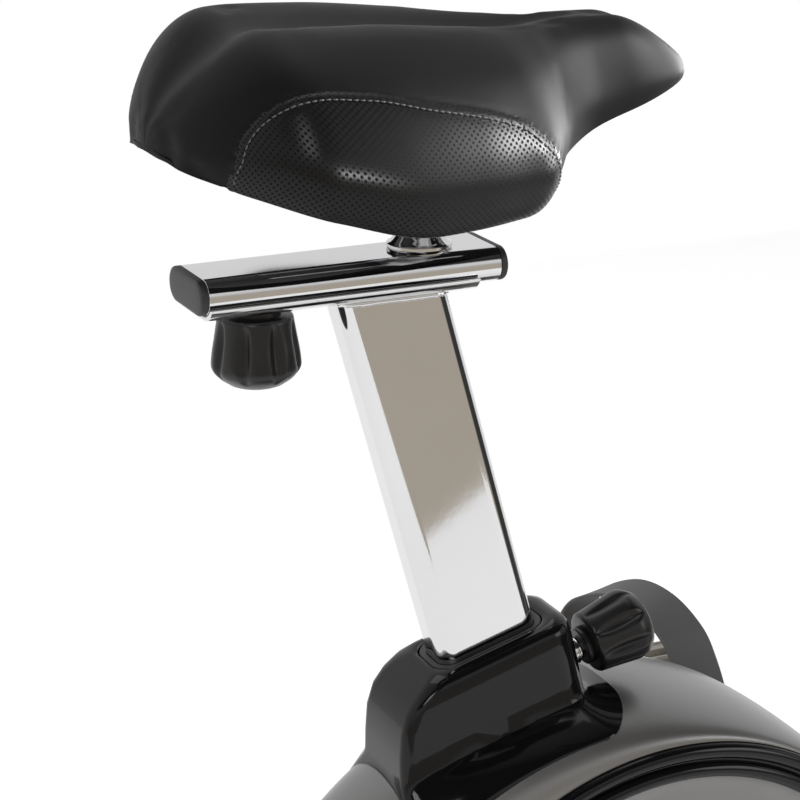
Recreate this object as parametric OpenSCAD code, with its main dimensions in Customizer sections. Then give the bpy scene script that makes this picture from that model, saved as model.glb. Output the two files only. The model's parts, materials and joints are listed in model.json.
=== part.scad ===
// Upright exercise bike with a magnetically braked flywheel, in millimetres.
// X points forward, Y to the rider's left, Z up; the origin is on the floor under the middle.

/* [Seat] */
// Height of the top of the seat slider tube above the floor
seat_z = 774; // [740:1:800]
// Rear end of the seat slider tube
slider_x = -420; // [-430:1:-400]
// Length of the slider tube
slider_l = 168; // [150:1:190]
// Width of the slider tube
slider_w = 48; // [44:1:56]
// Height of the slider tube
slider_h = 18; // [16:1:22]
// Lean of the seat post from vertical, in degrees
post_tilt = 15.6; // [12:0.1:18]
// Front-to-back size of the seat post
post_w = 60; // [56:1:64]
// Side-to-side size of the seat post
post_d = 30; // [28:1:34]
// Full length of the seat post
post_l = 400; // [380:1:410]
// Distance from the top of the post to the top of the collar at rest
collar_drop = 213; // [200:1:225]

/* [Drive] */
// Crank axle position along X
crank_x = -176; // [-180:1:-170]
// Crank axle height
crank_z = 305; // [300:1:310]
// Crank length between the axle and the pedal spindle
crank_l = 160; // [150:1:175]
// Crank angle at rest, above straight ahead
crank_turn = 46.7; // [40:0.1:55]
// Middle of the pedals from the middle of the bike
pedal_y = 134; // [130:1:140]
// Flywheel axle position along X
fly_x = 75; // [70:1:80]
// Flywheel axle height
fly_z = 222; // [220:1:226]
// Flywheel radius
fly_r = 100; // [90:1:100]

/* [Base] */
// Middle of each stabiliser from the middle of the bike
stab_x = 440; // [430:1:450]
// Length of a stabiliser tube without its end caps
stab_l = 440; // [400:10:500]
// Radius of a stabiliser tube
stab_r = 30; // [25:1:32]
// Foot of the handlebar mast along X
mast_x = 262; // [255:1:270]
// Lean of the mast towards the rider, in degrees
mast_tilt = 8; // [6:0.5:9]
// Length of the mast tube
mast_l = 930; // [880:10:960]

/* [Housing] */
// Radius of the round rear part of the housing
crown_r = 224; // [220:1:226]
// Radius of the round side panel inside the trim
panel_r = 172; // [165:1:174]
// Half the width of the housing
house_y = 60; // [58:1:62]
// Thickness of the plastic shells
skin = 3; // [2.5:0.5:3.5]

/* [Hidden] */
$fn = 64;

gap = 0.3;
slide_z = seat_z - slider_h;
channel_t = 3;
channel_z = slide_z - channel_t;
post_x = slider_x + 108.3;
post_r = 9.5;
post_wall = 2.5;
sleeve_w = post_w + 4.6;
sleeve_d = post_d + 4.6;
frame_w = post_w + 10;
frame_d = post_d + 10;
pin_drop = collar_drop + 32.6;
beam_z = 70;
beam_h = 40;
beam_w = 60;
crown_x = -198;
crown_z = 287;
trim_x = -164;
trim_z = 318;
valley_r = 90;
valley_x = 84;
valley_z = 425;
seam_x = [8, 46, 84, 122, 160];
seam_z = 310;
crank_angles = [crank_turn, crank_turn + 180];
belt_y = 45;
pulley_r = 102;
fly_pulley_r = 17;
mast_r = 30;
stub_x = slider_x + 128;
clamp_z = seat_z + 37;
knob_x = slider_x + 37;
bar_r = 14;
bar_h = mast_l + 25;
tension_h = 760;
wheel_x = stab_x + 10;
wheel_z = 24;
wheel_r = 22;

// ---------------------------------------------------------------- shared shapes

module rounded(w, h, r) {
    square([w - 2 * r, h], center = true);
    square([w, h - 2 * r], center = true);
    for (i = [-1, 1], j = [-1, 1]) translate([i * (w / 2 - r), j * (h / 2 - r)]) circle(r);
}

module flat_oval(w, h) {
    square([w - h, h], center = true);
    for (i = [-1, 1]) translate([i * (w - h) / 2, 0]) circle(h / 2);
}

// Cylinder along Y, from y0 to y1
module ycyl(x, z, r, y0, y1) translate([x, y1, z]) rotate([90, 0, 0]) cylinder(r = r, h = y1 - y0);

// Side-view drawing (x, z) made solid from y0 to y1
module side(y0, y1) translate([0, y1, 0]) rotate([90, 0, 0]) linear_extrude(y1 - y0) children();

// Frame of the seat post: z runs up the post, x forward, origin at the post's top
module on_post() translate([post_x, 0, channel_z]) rotate([0, -post_tilt, 0]) children();

// Frame of the mast: z runs up the mast, origin at its foot
module on_mast() translate([mast_x, 0, beam_z + beam_h]) rotate([0, -mast_tilt, 0]) children();

// Round rod between two points
module rod(a, b, r) {
    d = b - a;
    l = norm(d);
    translate(a) rotate([0, acos(d[2] / l), atan2(d[1], d[0])]) cylinder(r = r, h = l);
}

// Fluted clamp knob along +Z: small end at the bottom
module fluted_knob(h, r_small, r_big, bore) {
    flutes = 8;
    difference() {
        union() {
            cylinder(r1 = r_small, r2 = r_big, h = 0.8 * h);
            translate([0, 0, 0.8 * h]) cylinder(r1 = r_big, r2 = 0.82 * r_big, h = 0.2 * h);
        }
        for (i = [0:flutes - 1]) rotate([0, 0, i * 360 / flutes])
            translate([r_big + 3.4, 0, 0.12 * h]) cylinder(r = 5, h = 0.6 * h);
        if (bore > 0) translate([0, 0, -1]) cylinder(r = bore, h = 0.7 * h);
    }
}

// ---------------------------------------------------------------- base and frame

module base_beam() color("dimgray") {
    difference() {
        union() {
            translate([-455, -beam_w / 2, beam_z]) cube([910, beam_w, beam_h]);
            for (s = [-1, 1]) translate([s * stab_x - 15, -beam_w / 2, 52]) cube([30, beam_w, 19]);
        }
        translate([-460, -beam_w / 2 + 3, beam_z + 3]) cube([920, beam_w - 6, beam_h - 6]);
        for (s = [-1, 1]) {
            ycyl(s * stab_x, 40, stab_r, -50, 50);
            for (j = [-1, 1]) translate([s * stab_x, j * 20, 50]) cylinder(r = 4, h = 70);
        }
    }
}

module seat_tube() color("dimgray")
    difference() {
        intersection() {
            on_post() translate([0, 0, -700])
                linear_extrude(700 - collar_drop - 10) difference() {
                    rounded(frame_w, frame_d, 12);
                    rounded(sleeve_w, sleeve_d, 11);
                }
            translate([-400, -100, beam_z + beam_h]) cube([400, 200, 600]);
        }
        ycyl(crank_x, crank_z, 22, -40, 40);
        on_post() translate([0, 0, -pin_drop]) rotate([0, 90, 0]) cylinder(r = 7.6, h = 60);
    }

// Shell and bearings that carry the crank axle
module bottom_bracket() color("dimgray")
    difference() {
        ycyl(crank_x, crank_z, 22, -34, 34);
        ycyl(crank_x, crank_z, 17.5, -22, 22);
        ycyl(crank_x, crank_z, 8.54, -35, 35);
    }

module mast_socket() color("dimgray")
    difference() {
        intersection() {
            on_mast() translate([0, 0, -20]) cylinder(r = mast_r + 4, h = 220);
            translate([0, -100, beam_z + beam_h]) cube([500, 200, 400]);
        }
        on_mast() translate([0, 0, 20]) cylinder(r = mast_r, h = 200);
        on_mast() for (z = [120, 165]) translate([0, 50, z]) rotate([90, 0, 0]) cylinder(r = 4, h = 100);
    }

module mast_tube() color("dimgray")
    on_mast() difference() {
        translate([0, 0, 20]) cylinder(r = mast_r, h = mast_l - 20);
        translate([0, 0, 10]) cylinder(r = mast_r - 2.5, h = mast_l);
        for (z = [120, 165]) translate([0, 50, z]) rotate([90, 0, 0]) cylinder(r = 4, h = 100);
        translate([-20, 0, tension_h]) rotate([0, -90, 0]) cylinder(r = 6, h = 20);
    }

module mast_cover() color("gray")
    on_mast() translate([0, 0, 341]) difference() {
        union() {
            linear_extrude(60) rounded(82, 96, 34);
            translate([0, 0, 60]) cylinder(r1 = 40, r2 = 34, h = 22);
        }
        translate([0, 0, -1]) cylinder(r = mast_r, h = 100);
        translate([0, 0, -1]) linear_extrude(58) rounded(76, 90, 31);
    }

module stabiliser(x) color("dimgray")
    difference() {
        ycyl(x, 40, stab_r, -stab_l / 2, stab_l / 2);
        ycyl(x, 40, stab_r - 2.5, -stab_l / 2 - 1, stab_l / 2 + 1);
        for (j = [-1, 1]) translate([x, j * 20, 5]) cylinder(r = 4, h = 70);
    }

module front_stabiliser() stabiliser(stab_x);

module rear_stabiliser() stabiliser(-stab_x);

// Bolts of the stabilisers and of the mast
module frame_bolts() color("silver") {
    on_mast() for (z = [120, 165]) {
        translate([0, 34, z]) rotate([90, 0, 0]) cylinder(r = 4, h = 68);
        for (s = [-1, 1]) translate([0, s * 36.5 + 2.5, z]) rotate([90, 0, 0]) cylinder(r = 7, h = 5);
    }
    for (s = [-1, 1], j = [-1, 1]) translate([s * stab_x, j * 20, 0]) {
        translate([0, 0, 7]) cylinder(r = 4, h = 104);
        translate([0, 0, 6]) cylinder(r = 9, h = 3.9);
        translate([0, 0, beam_z + beam_h]) cylinder(r = 7, h = 6);
        translate([0, 0, beam_z + beam_h + 6]) cylinder(r1 = 7, r2 = 3, h = 4);
    }
}

// End cap of a stabiliser: a rounded boot with a flat foot
module end_cap(x, s) difference() {
    union() {
        ycyl(x, 40, stab_r + 3, s > 0 ? stab_l / 2 - 30 : -stab_l / 2 - 12,
             s > 0 ? stab_l / 2 + 12 : -stab_l / 2 + 30);
        translate([x - 27, s > 0 ? stab_l / 2 - 30 : -stab_l / 2 - 12, 0]) cube([54, 42, 40]);
    }
    ycyl(x, 40, stab_r, s > 0 ? stab_l / 2 - 31 : -stab_l / 2, s > 0 ? stab_l / 2 : -stab_l / 2 + 31);
}

// Boots of all four stabiliser ends, the two beam plugs and the forks of the transport wheels
module end_caps() color("black") {
    for (s = [-1, 1]) {
        translate([s * 456.5 - 1.5, -beam_w / 2, beam_z]) cube([3, beam_w, beam_h]);
        translate([s * 452 - 3, -beam_w / 2 + 3, beam_z + 3]) cube([6, beam_w - 6, beam_h - 6]);
        end_cap(-stab_x, s);
        end_cap(stab_x, s);
        difference() {
            for (y = [12, 40]) translate([stab_x - 20, s * (stab_l / 2 + y) - (s > 0 ? 0 : 4), 8])
                cube([40, 4, 34]);
            ycyl(wheel_x, wheel_z, 5, -300, 300);
        }
        translate([stab_x - 20, s > 0 ? stab_l / 2 + 12 : -stab_l / 2 - 44, 48]) cube([40, 32, 4]);
        translate([stab_x - 20, s > 0 ? stab_l / 2 + 12 : -stab_l / 2 - 44, 8]) cube([4, 32, 44]);
        ycyl(wheel_x, wheel_z, 5, s > 0 ? stab_l / 2 + 12 : -stab_l / 2 - 44,
             s > 0 ? stab_l / 2 + 44 : -stab_l / 2 - 12);
    }
}

module transport_wheel(s) color("black")
    difference() {
        ycyl(wheel_x, wheel_z, wheel_r, s * (stab_l / 2 + 28) - 11.5, s * (stab_l / 2 + 28) + 11.5);
        ycyl(wheel_x, wheel_z, 5.06, s * (stab_l / 2 + 28) - 20, s * (stab_l / 2 + 28) + 20);
    }

module transport_wheel_left() transport_wheel(1);

module transport_wheel_right() transport_wheel(-1);

// ---------------------------------------------------------------- housing

function arc(x, z, r, a0, a1, n) = [for (i = [0:n]) let (a = a0 + (a1 - a0) * i / n)
    [x + r * cos(a), z + r * sin(a)]];

// Side outline of the housing, t inside its outer face
module outline(t) polygon(concat(
    arc(crown_x, crown_z, crown_r - t, 270, 26.1, 48),
    arc(valley_x, valley_z, valley_r + t, 207, 368, 24),
    [[173 + t, 446 - t], [256 - t, 458 - t], [300 - t, 145]],
    arc(256, 107, 44 - t, 20, -90, 8)));

crown_steps = [0, 0.12, 0.35, 0.65, 1];

function crown_y(s, t) = max(8, (house_y - t) * sin(acos(1 - s)));

// One slice of the blend from the round crown at the middle to the panel circle at the side
module crown_disc(s, t, y) ycyl(crown_x + (trim_x - crown_x) * s, crown_z + (trim_z - crown_z) * s,
    crown_r + (panel_r - crown_r) * s - t, -y, y);

module crown_solid(t) hull() for (s = crown_steps) crown_disc(s, t, crown_y(s, t), $fn = 60);

// Stepped solid that just holds the crown, to cut the parts that sit on it
module crown_room() for (i = [0:2]) crown_disc(crown_steps[i], -gap, crown_y(crown_steps[i + 1], 0));

module crown_zone() side(-100, 100) polygon(concat(
    [[crown_x, 0]], [[-500, 0], [-500, 600], [60, 600]],
    [[crown_x + 300 * cos(25.9), crown_z + 300 * sin(25.9)]],
    [[crown_x, crown_z]]));

module housing_crown() color("slategray")
    difference() {
        intersection() {
            difference() {
                crown_solid(0);
                crown_solid(skin);
            }
            crown_zone();
        }
        ycyl(trim_x, trim_z, panel_r - 2, -100, 100);
        on_post() translate([0, 0, -500]) linear_extrude(400) rounded(frame_w + 1, frame_d + 1, 12);
        translate([-500, -beam_w / 2 - 1, 0]) cube([500, beam_w + 2, beam_z + beam_h + 1]);
    }

// Seams between the strips that line the valley
module valley_seams() {
    for (x = seam_x) translate([x, -1, seam_z]) cube([gap, house_y + 2, 200]);
    translate([seam_x[0], -1, seam_z]) cube([seam_x[4] - seam_x[0], house_y + 2, gap]);
}

module housing_half() difference() {
    union() {
        difference() {
            side(0, house_y) outline(0);
            side(-1, house_y - skin) outline(skin);
            crown_zone();
        }
        ycyl(trim_x, trim_z, panel_r - 2.3, house_y - skin, house_y);
    }
    ycyl(crank_x, crank_z, 14, 0, 100);
    translate([-500, 0, 0]) cube([1000, beam_w / 2 + 1, beam_z + beam_h + 1]);
    on_mast() translate([0, 0, 200]) linear_extrude(300) rounded(83, 97, 34);
    valley_seams();
}

module housing_left() color("slategray") housing_half();

module housing_right() color("slategray") mirror([0, 1, 0]) housing_half();

module side_trims() color("black")
    difference() {
        for (s = [-1, 1]) translate([trim_x, s * (house_y + 1), trim_z]) rotate([90, 0, 0])
            rotate([0, 0, 24]) {
                for (r = [panel_r - 5, panel_r - 16])
                    rotate_extrude(angle = 190) translate([r, 0]) circle(4);
                rotate_extrude(angle = 190) translate([panel_r - 20, -1.5]) square([19, 3]);
            }
        translate([-400, -house_y, 0]) cube([500, 2 * house_y, 600]);
    }

module seat_shroud() color("black")
    difference() {
        union() {
            on_post() translate([3, 0, -collar_drop - 120]) linear_extrude(120) rounded(86, 54, 25);
            side(-26, 26) polygon(concat([[-315, 440]], arc(-285, 509, 30, 180, 95, 8),
                [[-262, 548], [-210, 540], [-210, 440]]));
            hull() {
                translate([-313, -28, 500]) cube([117, 56, 2]);
                translate([-318, -52, 440]) cube([144, 104, 38]);
            }
        }
        crown_room();
        on_post() translate([0, 0, -500]) linear_extrude(500 - collar_drop - 10)
            rounded(frame_w, frame_d, 12);
        on_post() translate([0, 0, -300]) linear_extrude(300) rounded(sleeve_w, sleeve_d, 11);
        on_post() translate([0, 0, -collar_drop]) linear_extrude(40) rounded(sleeve_w + 3, sleeve_d + 3, 12);
        on_post() translate([0, 0, -pin_drop]) rotate([0, 90, 0]) cylinder(r = 7.8, h = 80);
    }

module post_sleeve() color("black")
    on_post() difference() {
        union() {
            translate([0, 0, -345]) linear_extrude(345 - collar_drop) rounded(sleeve_w, sleeve_d, 11);
            translate([0, 0, -collar_drop]) linear_extrude(2.5) rounded(sleeve_w + 3, sleeve_d + 3, 12);
        }
        translate([0, 0, -400]) linear_extrude(400) rounded(post_w + 2 * gap, post_d + 2 * gap, 9.8);
        translate([0, 0, -pin_drop]) rotate([0, 90, 0]) cylinder(r = 4.3, h = 60);
    }

// ---------------------------------------------------------------- height lock

module on_pin() on_post() translate([0, 0, -pin_drop]) rotate([0, 90, 0]) children();

module height_barrel() color("silver")
    on_pin() difference() {
        union() {
            translate([0, 0, sleeve_w / 2 + 0.2]) cylinder(r = 7.5, h = 20.1);
            for (z = [47:2:51]) translate([0, 0, z]) cylinder(r = 8.2, h = 1);
            translate([0, 0, 52]) cylinder(r = 6.9, h = 2.6);
        }
        cylinder(r = 4.05, h = 80);
        translate([0, 0, 38]) cylinder(r = 6, h = 14.6);
    }

module pin_spring() color("silver")
    on_pin() for (z = [49.4:1.2:51.8]) translate([0, 0, z]) rotate_extrude() translate([5.1, 0]) circle(0.5);

module height_pin() color("silver")
    on_pin() {
        translate([0, 0, 26]) cylinder(r = 4, h = 57.5);
        translate([0, 0, 38.3]) cylinder(r = 5.9, h = 2);
    }

module height_knob() color("black")
    on_pin() {
        difference() {
            translate([0, 0, 55.6]) cylinder(r = 11, h = 4.6);
            cylinder(r = 4, h = 100);
        }
        translate([0, 0, 60.2]) fluted_knob(35, 17.5, 21, 4);
    }

// ---------------------------------------------------------------- drive

module flywheel_bracket() color("dimgray") {
    pivot = [fly_x - 86, fly_z - 72];
    difference() {
        for (y = [[-30, -26], [52, 55]]) side(y[0], y[1]) polygon([[fly_x - 45, beam_z + beam_h],
            [fly_x + 45, beam_z + beam_h], [fly_x + 16, fly_z + 78], [fly_x - 16, fly_z + 78]]);
        ycyl(fly_x, fly_z, 5, -40, 60);
    }
    translate([fly_x - 45, 22, beam_z + beam_h]) cube([90, 30, 4]);
    ycyl(fly_x, fly_z + 68, 4, 49, 52);
    for (y = [-22, 18.5]) translate([pivot[0] - 10, y, beam_z + beam_h]) cube([20, 3.5, 50]);
    ycyl(pivot[0], pivot[1], 4, -18.5, 18.5);
}

module flywheel_axle() color("silver")
    difference() {
        ycyl(fly_x, fly_z, 5, -36, 56.5);
    }

module flywheel() color("gray")
    translate([fly_x, 0, fly_z]) rotate([-90, 0, 0]) rotate_extrude() polygon([
        [13, -22], [24, -22], [24, -6], [fly_r - 20, -6], [fly_r - 20, -12], [fly_r, -12],
        [fly_r, 12], [fly_r - 20, 12], [fly_r - 20, 6], [24, 6], [24, 24], [fly_pulley_r, 24],
        [fly_pulley_r, 40], [20, 40], [20, 41.5], [fly_pulley_r, 41.5], [fly_pulley_r, 48.5],
        [20, 48.5], [20, 50], [13, 50]]);

module flywheel_bearings() color("silver")
    for (y = [-22, 40]) difference() {
        ycyl(fly_x, fly_z, 13, y, y + 10);
        ycyl(fly_x, fly_z, 5.04, y - 1, y + 11);
    }

module belt_line(t) hull() {
    translate([crank_x, crank_z]) circle(pulley_r + t);
    translate([fly_x, fly_z]) circle(fly_pulley_r + t);
}

module drive_belt() color("black")
    side(belt_y - 3.2, belt_y + 3.2) difference() {
        belt_line(2.8);
        belt_line(gap);
    }

idler = [fly_x - 58, fly_z + 90];

module idler_arm() color("dimgray") {
    difference() {
        side(49.3, 51.7) difference() {
            hull() {
                translate([fly_x, fly_z + 68]) circle(8);
                translate(idler) circle(8);
            }
            translate([fly_x, fly_z + 68]) circle(4.05);
        }
    }
    ycyl(idler[0], idler[1], 4, 41.5, 49.3);
}

module idler_wheel() color("black")
    difference() {
        ycyl(idler[0], idler[1], 16, 41.8, 48.8);
        ycyl(idler[0], idler[1], 4.05, 41, 50);
    }

// Curved arm that holds the brake magnets beside the flywheel's rim
module magnet_carrier() color("dimgray") {
    difference() {
        union() {
            translate([fly_x, 0, fly_z]) rotate([90, 0, 0]) rotate([0, 0, 150])
                rotate_extrude(angle = 70) translate([fly_r + 4, -14]) square([4, 28]);
            ycyl(fly_x - 86, fly_z - 72, 8, -14, 14);
        }
        ycyl(fly_x - 86, fly_z - 72, 4.05, -20, 20);
    }
    for (i = [0:4]) translate([fly_x, 0, fly_z]) rotate([90, 0, 0]) rotate([0, 0, 152 + 12 * i])
        rotate_extrude(angle = 9) translate([fly_r + 1.6, -10]) square([2.4, 20]);
}

module crank_axle() color("silver") ycyl(crank_x, crank_z, 8.5, -82, 82);

module drive_pulley() color("dimgray")
    difference() {
        translate([crank_x, 0, crank_z]) rotate([-90, 0, 0]) rotate_extrude() polygon([
            [8.5, 36], [20, 36], [20, 42], [88, 42], [88, 40], [105, 40], [105, 41.5],
            [pulley_r, 41.5], [pulley_r, 48.5], [105, 48.5], [105, 50], [88, 50], [88, 46],
            [20, 46], [20, 54], [8.5, 54]]);
        for (a = [0:60:300]) ycyl(crank_x + 54 * cos(a), crank_z + 54 * sin(a), 18, 30, 60);
    }

// Side-view position of the pedal spindle of crank i
function pedal_at(i) = [crank_x + crank_l * cos(crank_angles[i]), crank_z + crank_l * sin(crank_angles[i])];

// Crank arm with its pedal spindle and dust cap
module crank_arm(i) {
    p = pedal_at(i);
    difference() {
        side(68, 84) hull() {
            translate([crank_x, crank_z]) circle(20);
            translate(p) circle(14);
        }
        ycyl(crank_x, crank_z, 8.5, 60, 82);
    }
    ycyl(crank_x, crank_z, 13, 84, 87);
    ycyl(p[0], p[1], 7, 84, 172);
}

module crank_arm_left() color("dimgray") crank_arm(0);

module crank_arm_right() color("dimgray") mirror([0, 1, 0]) crank_arm(1);

pedal_half = 45;

module pedal(i) {
    p = pedal_at(i);
    difference() {
        side(pedal_y - pedal_half, pedal_y + pedal_half) translate(p) polygon([[-42, -4], [-36, -14],
            [36, -14], [42, -4], [42, 6], [38, 12], [-38, 12], [-42, 6]]);
        for (s = [-1, 1], j = [0:4]) translate([p[0] + s * 26 - 11, pedal_y - 36 + 15 * j, p[1] - 20])
            cube([22, 10, 50]);
        ycyl(p[0], p[1], 7.05, 80, 172.5);
    }
    translate([p[0] - 14, pedal_y - 36, p[1] - 30]) cube([28, 72, 16]);
}

module pedal_left() color("gray") pedal(0);

module pedal_right() color("gray") mirror([0, 1, 0]) pedal(1);

module pedal_strap(i) {
    p = pedal_at(i);
    difference() {
        translate([p[0] - 30, pedal_y, p[1] + 19]) rotate([90, 0, 90]) linear_extrude(32) difference() {
            union() {
                circle(pedal_half + 2.5);
                translate([-pedal_half - 2.5, -27]) square([2 * pedal_half + 5, 27]);
            }
            circle(pedal_half);
            translate([-pedal_half, -60]) square([2 * pedal_half, 60]);
            translate([-60, -90]) square([120, 63]);
        }
        ycyl(p[0], p[1], 8, 80, 100);
    }
}

module pedal_strap_left() color("black") pedal_strap(0);

module pedal_strap_right() color("black") mirror([0, 1, 0]) pedal_strap(1);

// ---------------------------------------------------------------- seat

module seat_post() color("silver")
    difference() {
        intersection() {
            on_post() translate([0, 0, -post_l]) linear_extrude(post_l + 20) difference() {
                rounded(post_w, post_d, post_r);
                rounded(post_w - 2 * post_wall, post_d - 2 * post_wall, post_r - post_wall);
            }
            translate([-500, -100, 0]) cube([500, 200, channel_z]);
        }
        on_pin() for (s = [-30, 90]) translate([s, 0, 20]) cylinder(r = 5.3, h = 20);
        on_pin() translate([-30, -5.3, 20]) cube([120, 10.6, 20]);
    }

// Side-on rail frame of the slider: x across, y up, z forward from the slider's rear end
module on_slide(x) translate([slider_x + x, 0, slide_z + slider_h / 2]) rotate([90, 0, 90]) children();

module slider_channel() color("silver")
    difference() {
        on_slide(4) linear_extrude(147) difference() {
            flat_oval(slider_w + 6, slider_h + 6);
            flat_oval(slider_w + 2 * gap, slider_h + 2 * gap);
            translate([-40, -4.5]) square([80, 30]);
        }
        translate([knob_x, 0, channel_z - 1]) cylinder(r = 4.5, h = 6);
    }

// Headed bolt that stands down through the slider's slot and the channel
module clamp_bolt() color("silver")
    translate([knob_x, 0, slide_z + 3.5]) {
        translate([-9, -9, 0]) cube([18, 18, 6]);
        translate([0, 0, -33]) cylinder(r = 4, h = 34);
    }

module slider_tube() color("silver")
    difference() {
        on_slide(4) linear_extrude(slider_l - 8) difference() {
            flat_oval(slider_w, slider_h);
            flat_oval(slider_w - 5, slider_h - 5);
        }
        for (x = [12, 105]) translate([slider_x + x, 0, slide_z - 1]) cylinder(r = 4.6, h = 6);
        translate([slider_x + 12, -4.6, slide_z - 1]) cube([93, 9.2, 6]);
    }

module slider_end_caps() color("black") {
    on_slide(0) linear_extrude(4) flat_oval(slider_w, slider_h);
    on_slide(slider_l - 4) linear_extrude(4) flat_oval(slider_w, slider_h);
    for (x = [4, slider_l - 12]) on_slide(x) linear_extrude(8) flat_oval(slider_w - 5, slider_h - 5);
}

module saddle_stub() color("silver")
    translate([stub_x, 0, seat_z]) {
        cylinder(r1 = 15, r2 = 10.5, h = 7);
        translate([0, 0, 7]) cylinder(r = 10.5, h = 19);
    }

module saddle_clamp() color("dimgray")
    difference() {
        union() {
            translate([stub_x, 0, seat_z + 13]) cylinder(r = 15, h = 16);
            ycyl(stub_x, clamp_z, 12, -17, 17);
        }
        translate([stub_x, 0, seat_z]) cylinder(r = 10.5, h = 26);
        ycyl(stub_x, clamp_z, 4.08, -20, 20);
    }

rail_y = 22;
rail_z = clamp_z + 9;

module saddle_rails() color("silver")
    for (s = [-1, 1]) {
        rod([stub_x - 70, s * rail_y, rail_z], [stub_x + 34, s * rail_y, rail_z], 3.5);
        for (x = [-70, 34]) {
            translate([stub_x + x, s * rail_y, rail_z]) sphere(3.5);
            rod([stub_x + x, s * rail_y, rail_z], [stub_x + x, s * rail_y, pan_z], 3.5);
        }
    }

module rail_clamp() color("dimgray") {
    ycyl(stub_x, clamp_z, 4, -34, 34);
    for (s = [-1, 1]) difference() {
        ycyl(stub_x, clamp_z, 15, s * rail_y - 4.7, s * rail_y + 4.7);
        rod([stub_x - 40, s * rail_y, rail_z], [stub_x + 40, s * rail_y, rail_z], 3.5);
        ycyl(stub_x, clamp_z, 4, -34, 34);
    }
    for (s = [-1, 1]) difference() {
        ycyl(stub_x, clamp_z, 7, s * 29.2 - 2.5, s * 29.2 + 2.5);
        ycyl(stub_x, clamp_z, 4, -34, 34);
    }
}

pan_z = seat_z + 54;

module pan_outline() hull() {
    for (s = [-1, 1]) translate([stub_x - 84, s * 38]) circle(44);
    for (s = [-1, 1]) translate([stub_x + 10, s * 22]) circle(36);
}

module saddle_pan() color("black") translate([0, 0, pan_z]) linear_extrude(4) pan_outline();

module blob(p, size) translate(p) scale(size) sphere(1, $fn = 32);

module saddle_cushion() color("black")
    difference() {
        intersection() {
            hull() {
                for (s = [-1, 1]) blob([stub_x - 82, s * 53, seat_z + 79], [63, 59, 43]);
                for (s = [-1, 1]) blob([stub_x - 10, s * 46, seat_z + 74], [60, 57, 42]);
                blob([stub_x + 126, 0, seat_z + 88], [27, 27, 22]);
            }
            translate([-600, -200, seat_z + 34]) cube([600, 400, 100]);
        }
        translate([0, 0, seat_z]) linear_extrude(58) pan_outline();
    }

// Clamp knob under the slider, turning on the clamp bolt
module slider_knob() color("black")
    translate([knob_x, 0, channel_z - gap]) rotate([180, 0, 0]) {
        difference() {
            cylinder(r = 13, h = 3.2);
            translate([0, 0, -1]) cylinder(r = 4.05, h = 5);
        }
        translate([0, 0, 3.2]) fluted_knob(36, 19, 23, 4.05);
    }

// ---------------------------------------------------------------- handlebar and console

// Middle of the handlebar in the mast
hb_x = mast_x - bar_h * sin(mast_tilt);
hb_z = beam_z + beam_h + bar_h * cos(mast_tilt);
// Right half of the handlebar's centre line, from the middle out to the hand end
bar_half = [[0, 0, 0], [0, 34, 0], [0, 60, 0], [-8, 140, 6], [-30, 205, 18], [-100, 236, 30],
    [-205, 240, 42], [-250, 232, 70], [-272, 222, 112]];
bar_last = len(bar_half) - 1;
bar_steps = 4;

function bar_point(i) = i < 0 ? [bar_half[-i][0], -bar_half[-i][1], bar_half[-i][2]]
    : i > bar_last ? 2 * bar_half[bar_last] - bar_half[bar_last - 1] : bar_half[i];

// Smooth curve through four points, between the middle two
function curve(p0, p1, p2, p3, t) = 0.5 * (2 * p1 + (p2 - p0) * t
    + (2 * p0 - 5 * p1 + 4 * p2 - p3) * t * t + (3 * p1 - p0 - 3 * p2 + p3) * t * t * t);

function bar_path(first, last) = [for (i = [first:last - 1], k = [0:bar_steps - 1])
    curve(bar_point(i - 1), bar_point(i), bar_point(i + 1), bar_point(i + 2), k / bar_steps),
    bar_point(last)];

function flip(path) = [for (i = [len(path) - 1:-1:0]) [path[i][0], -path[i][1], path[i][2]]];

function unit(v) = v / norm(v);

// Round tube along a path of points, solid inside
module sweep(path, r, sides = 20) {
    n = len(path);
    points = [for (i = [0:n - 1])
        let (t = unit(path[min(i + 1, n - 1)] - path[max(i - 1, 0)]))
        let (u = unit(cross([0, 0, 1], t)))
        let (v = cross(t, u))
        for (k = [0:sides - 1]) path[i] + r * (cos(360 * k / sides) * u + sin(360 * k / sides) * v)];
    walls = [for (i = [0:n - 2], k = [0:sides - 1]) let (m = (k + 1) % sides)
        [i * sides + k, (i + 1) * sides + k, (i + 1) * sides + m, i * sides + m]];
    ends = [[for (k = [0:sides - 1]) k], [for (k = [sides - 1:-1:0]) (n - 1) * sides + k]];
    polyhedron(points = points, faces = concat(walls, ends), convexity = 6);
}

module on_bar() translate([hb_x, 0, hb_z]) children();

module handlebar() color("dimgray")
    on_bar() {
        half = bar_path(0, bar_last);
        sweep(concat(flip([for (i = [1:len(half) - 1]) half[i]]), half), bar_r);
    }

module handlebar_grips() color("black")
    for (s = [0, 1]) mirror([0, s, 0]) on_bar() difference() {
        sweep(bar_path(5, bar_last), bar_r + 5);
        sweep(concat(bar_path(4, bar_last), [bar_point(bar_last + 1)]), bar_r + gap);
    }

module handlebar_clamp() color("dimgray")
    difference() {
        union() {
            on_mast() translate([-0.8, 0, mast_l]) linear_extrude(22) rounded(60.4, 60, 10);
            ycyl(hb_x, hb_z, 22, -26, 26);
        }
        ycyl(hb_x, hb_z, bar_r + 0.06, -40, 40);
        on_mast() translate([-40, 0, mast_l + 6]) rotate([0, 90, 0]) cylinder(r = 3.56, h = 80);
    }

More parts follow.
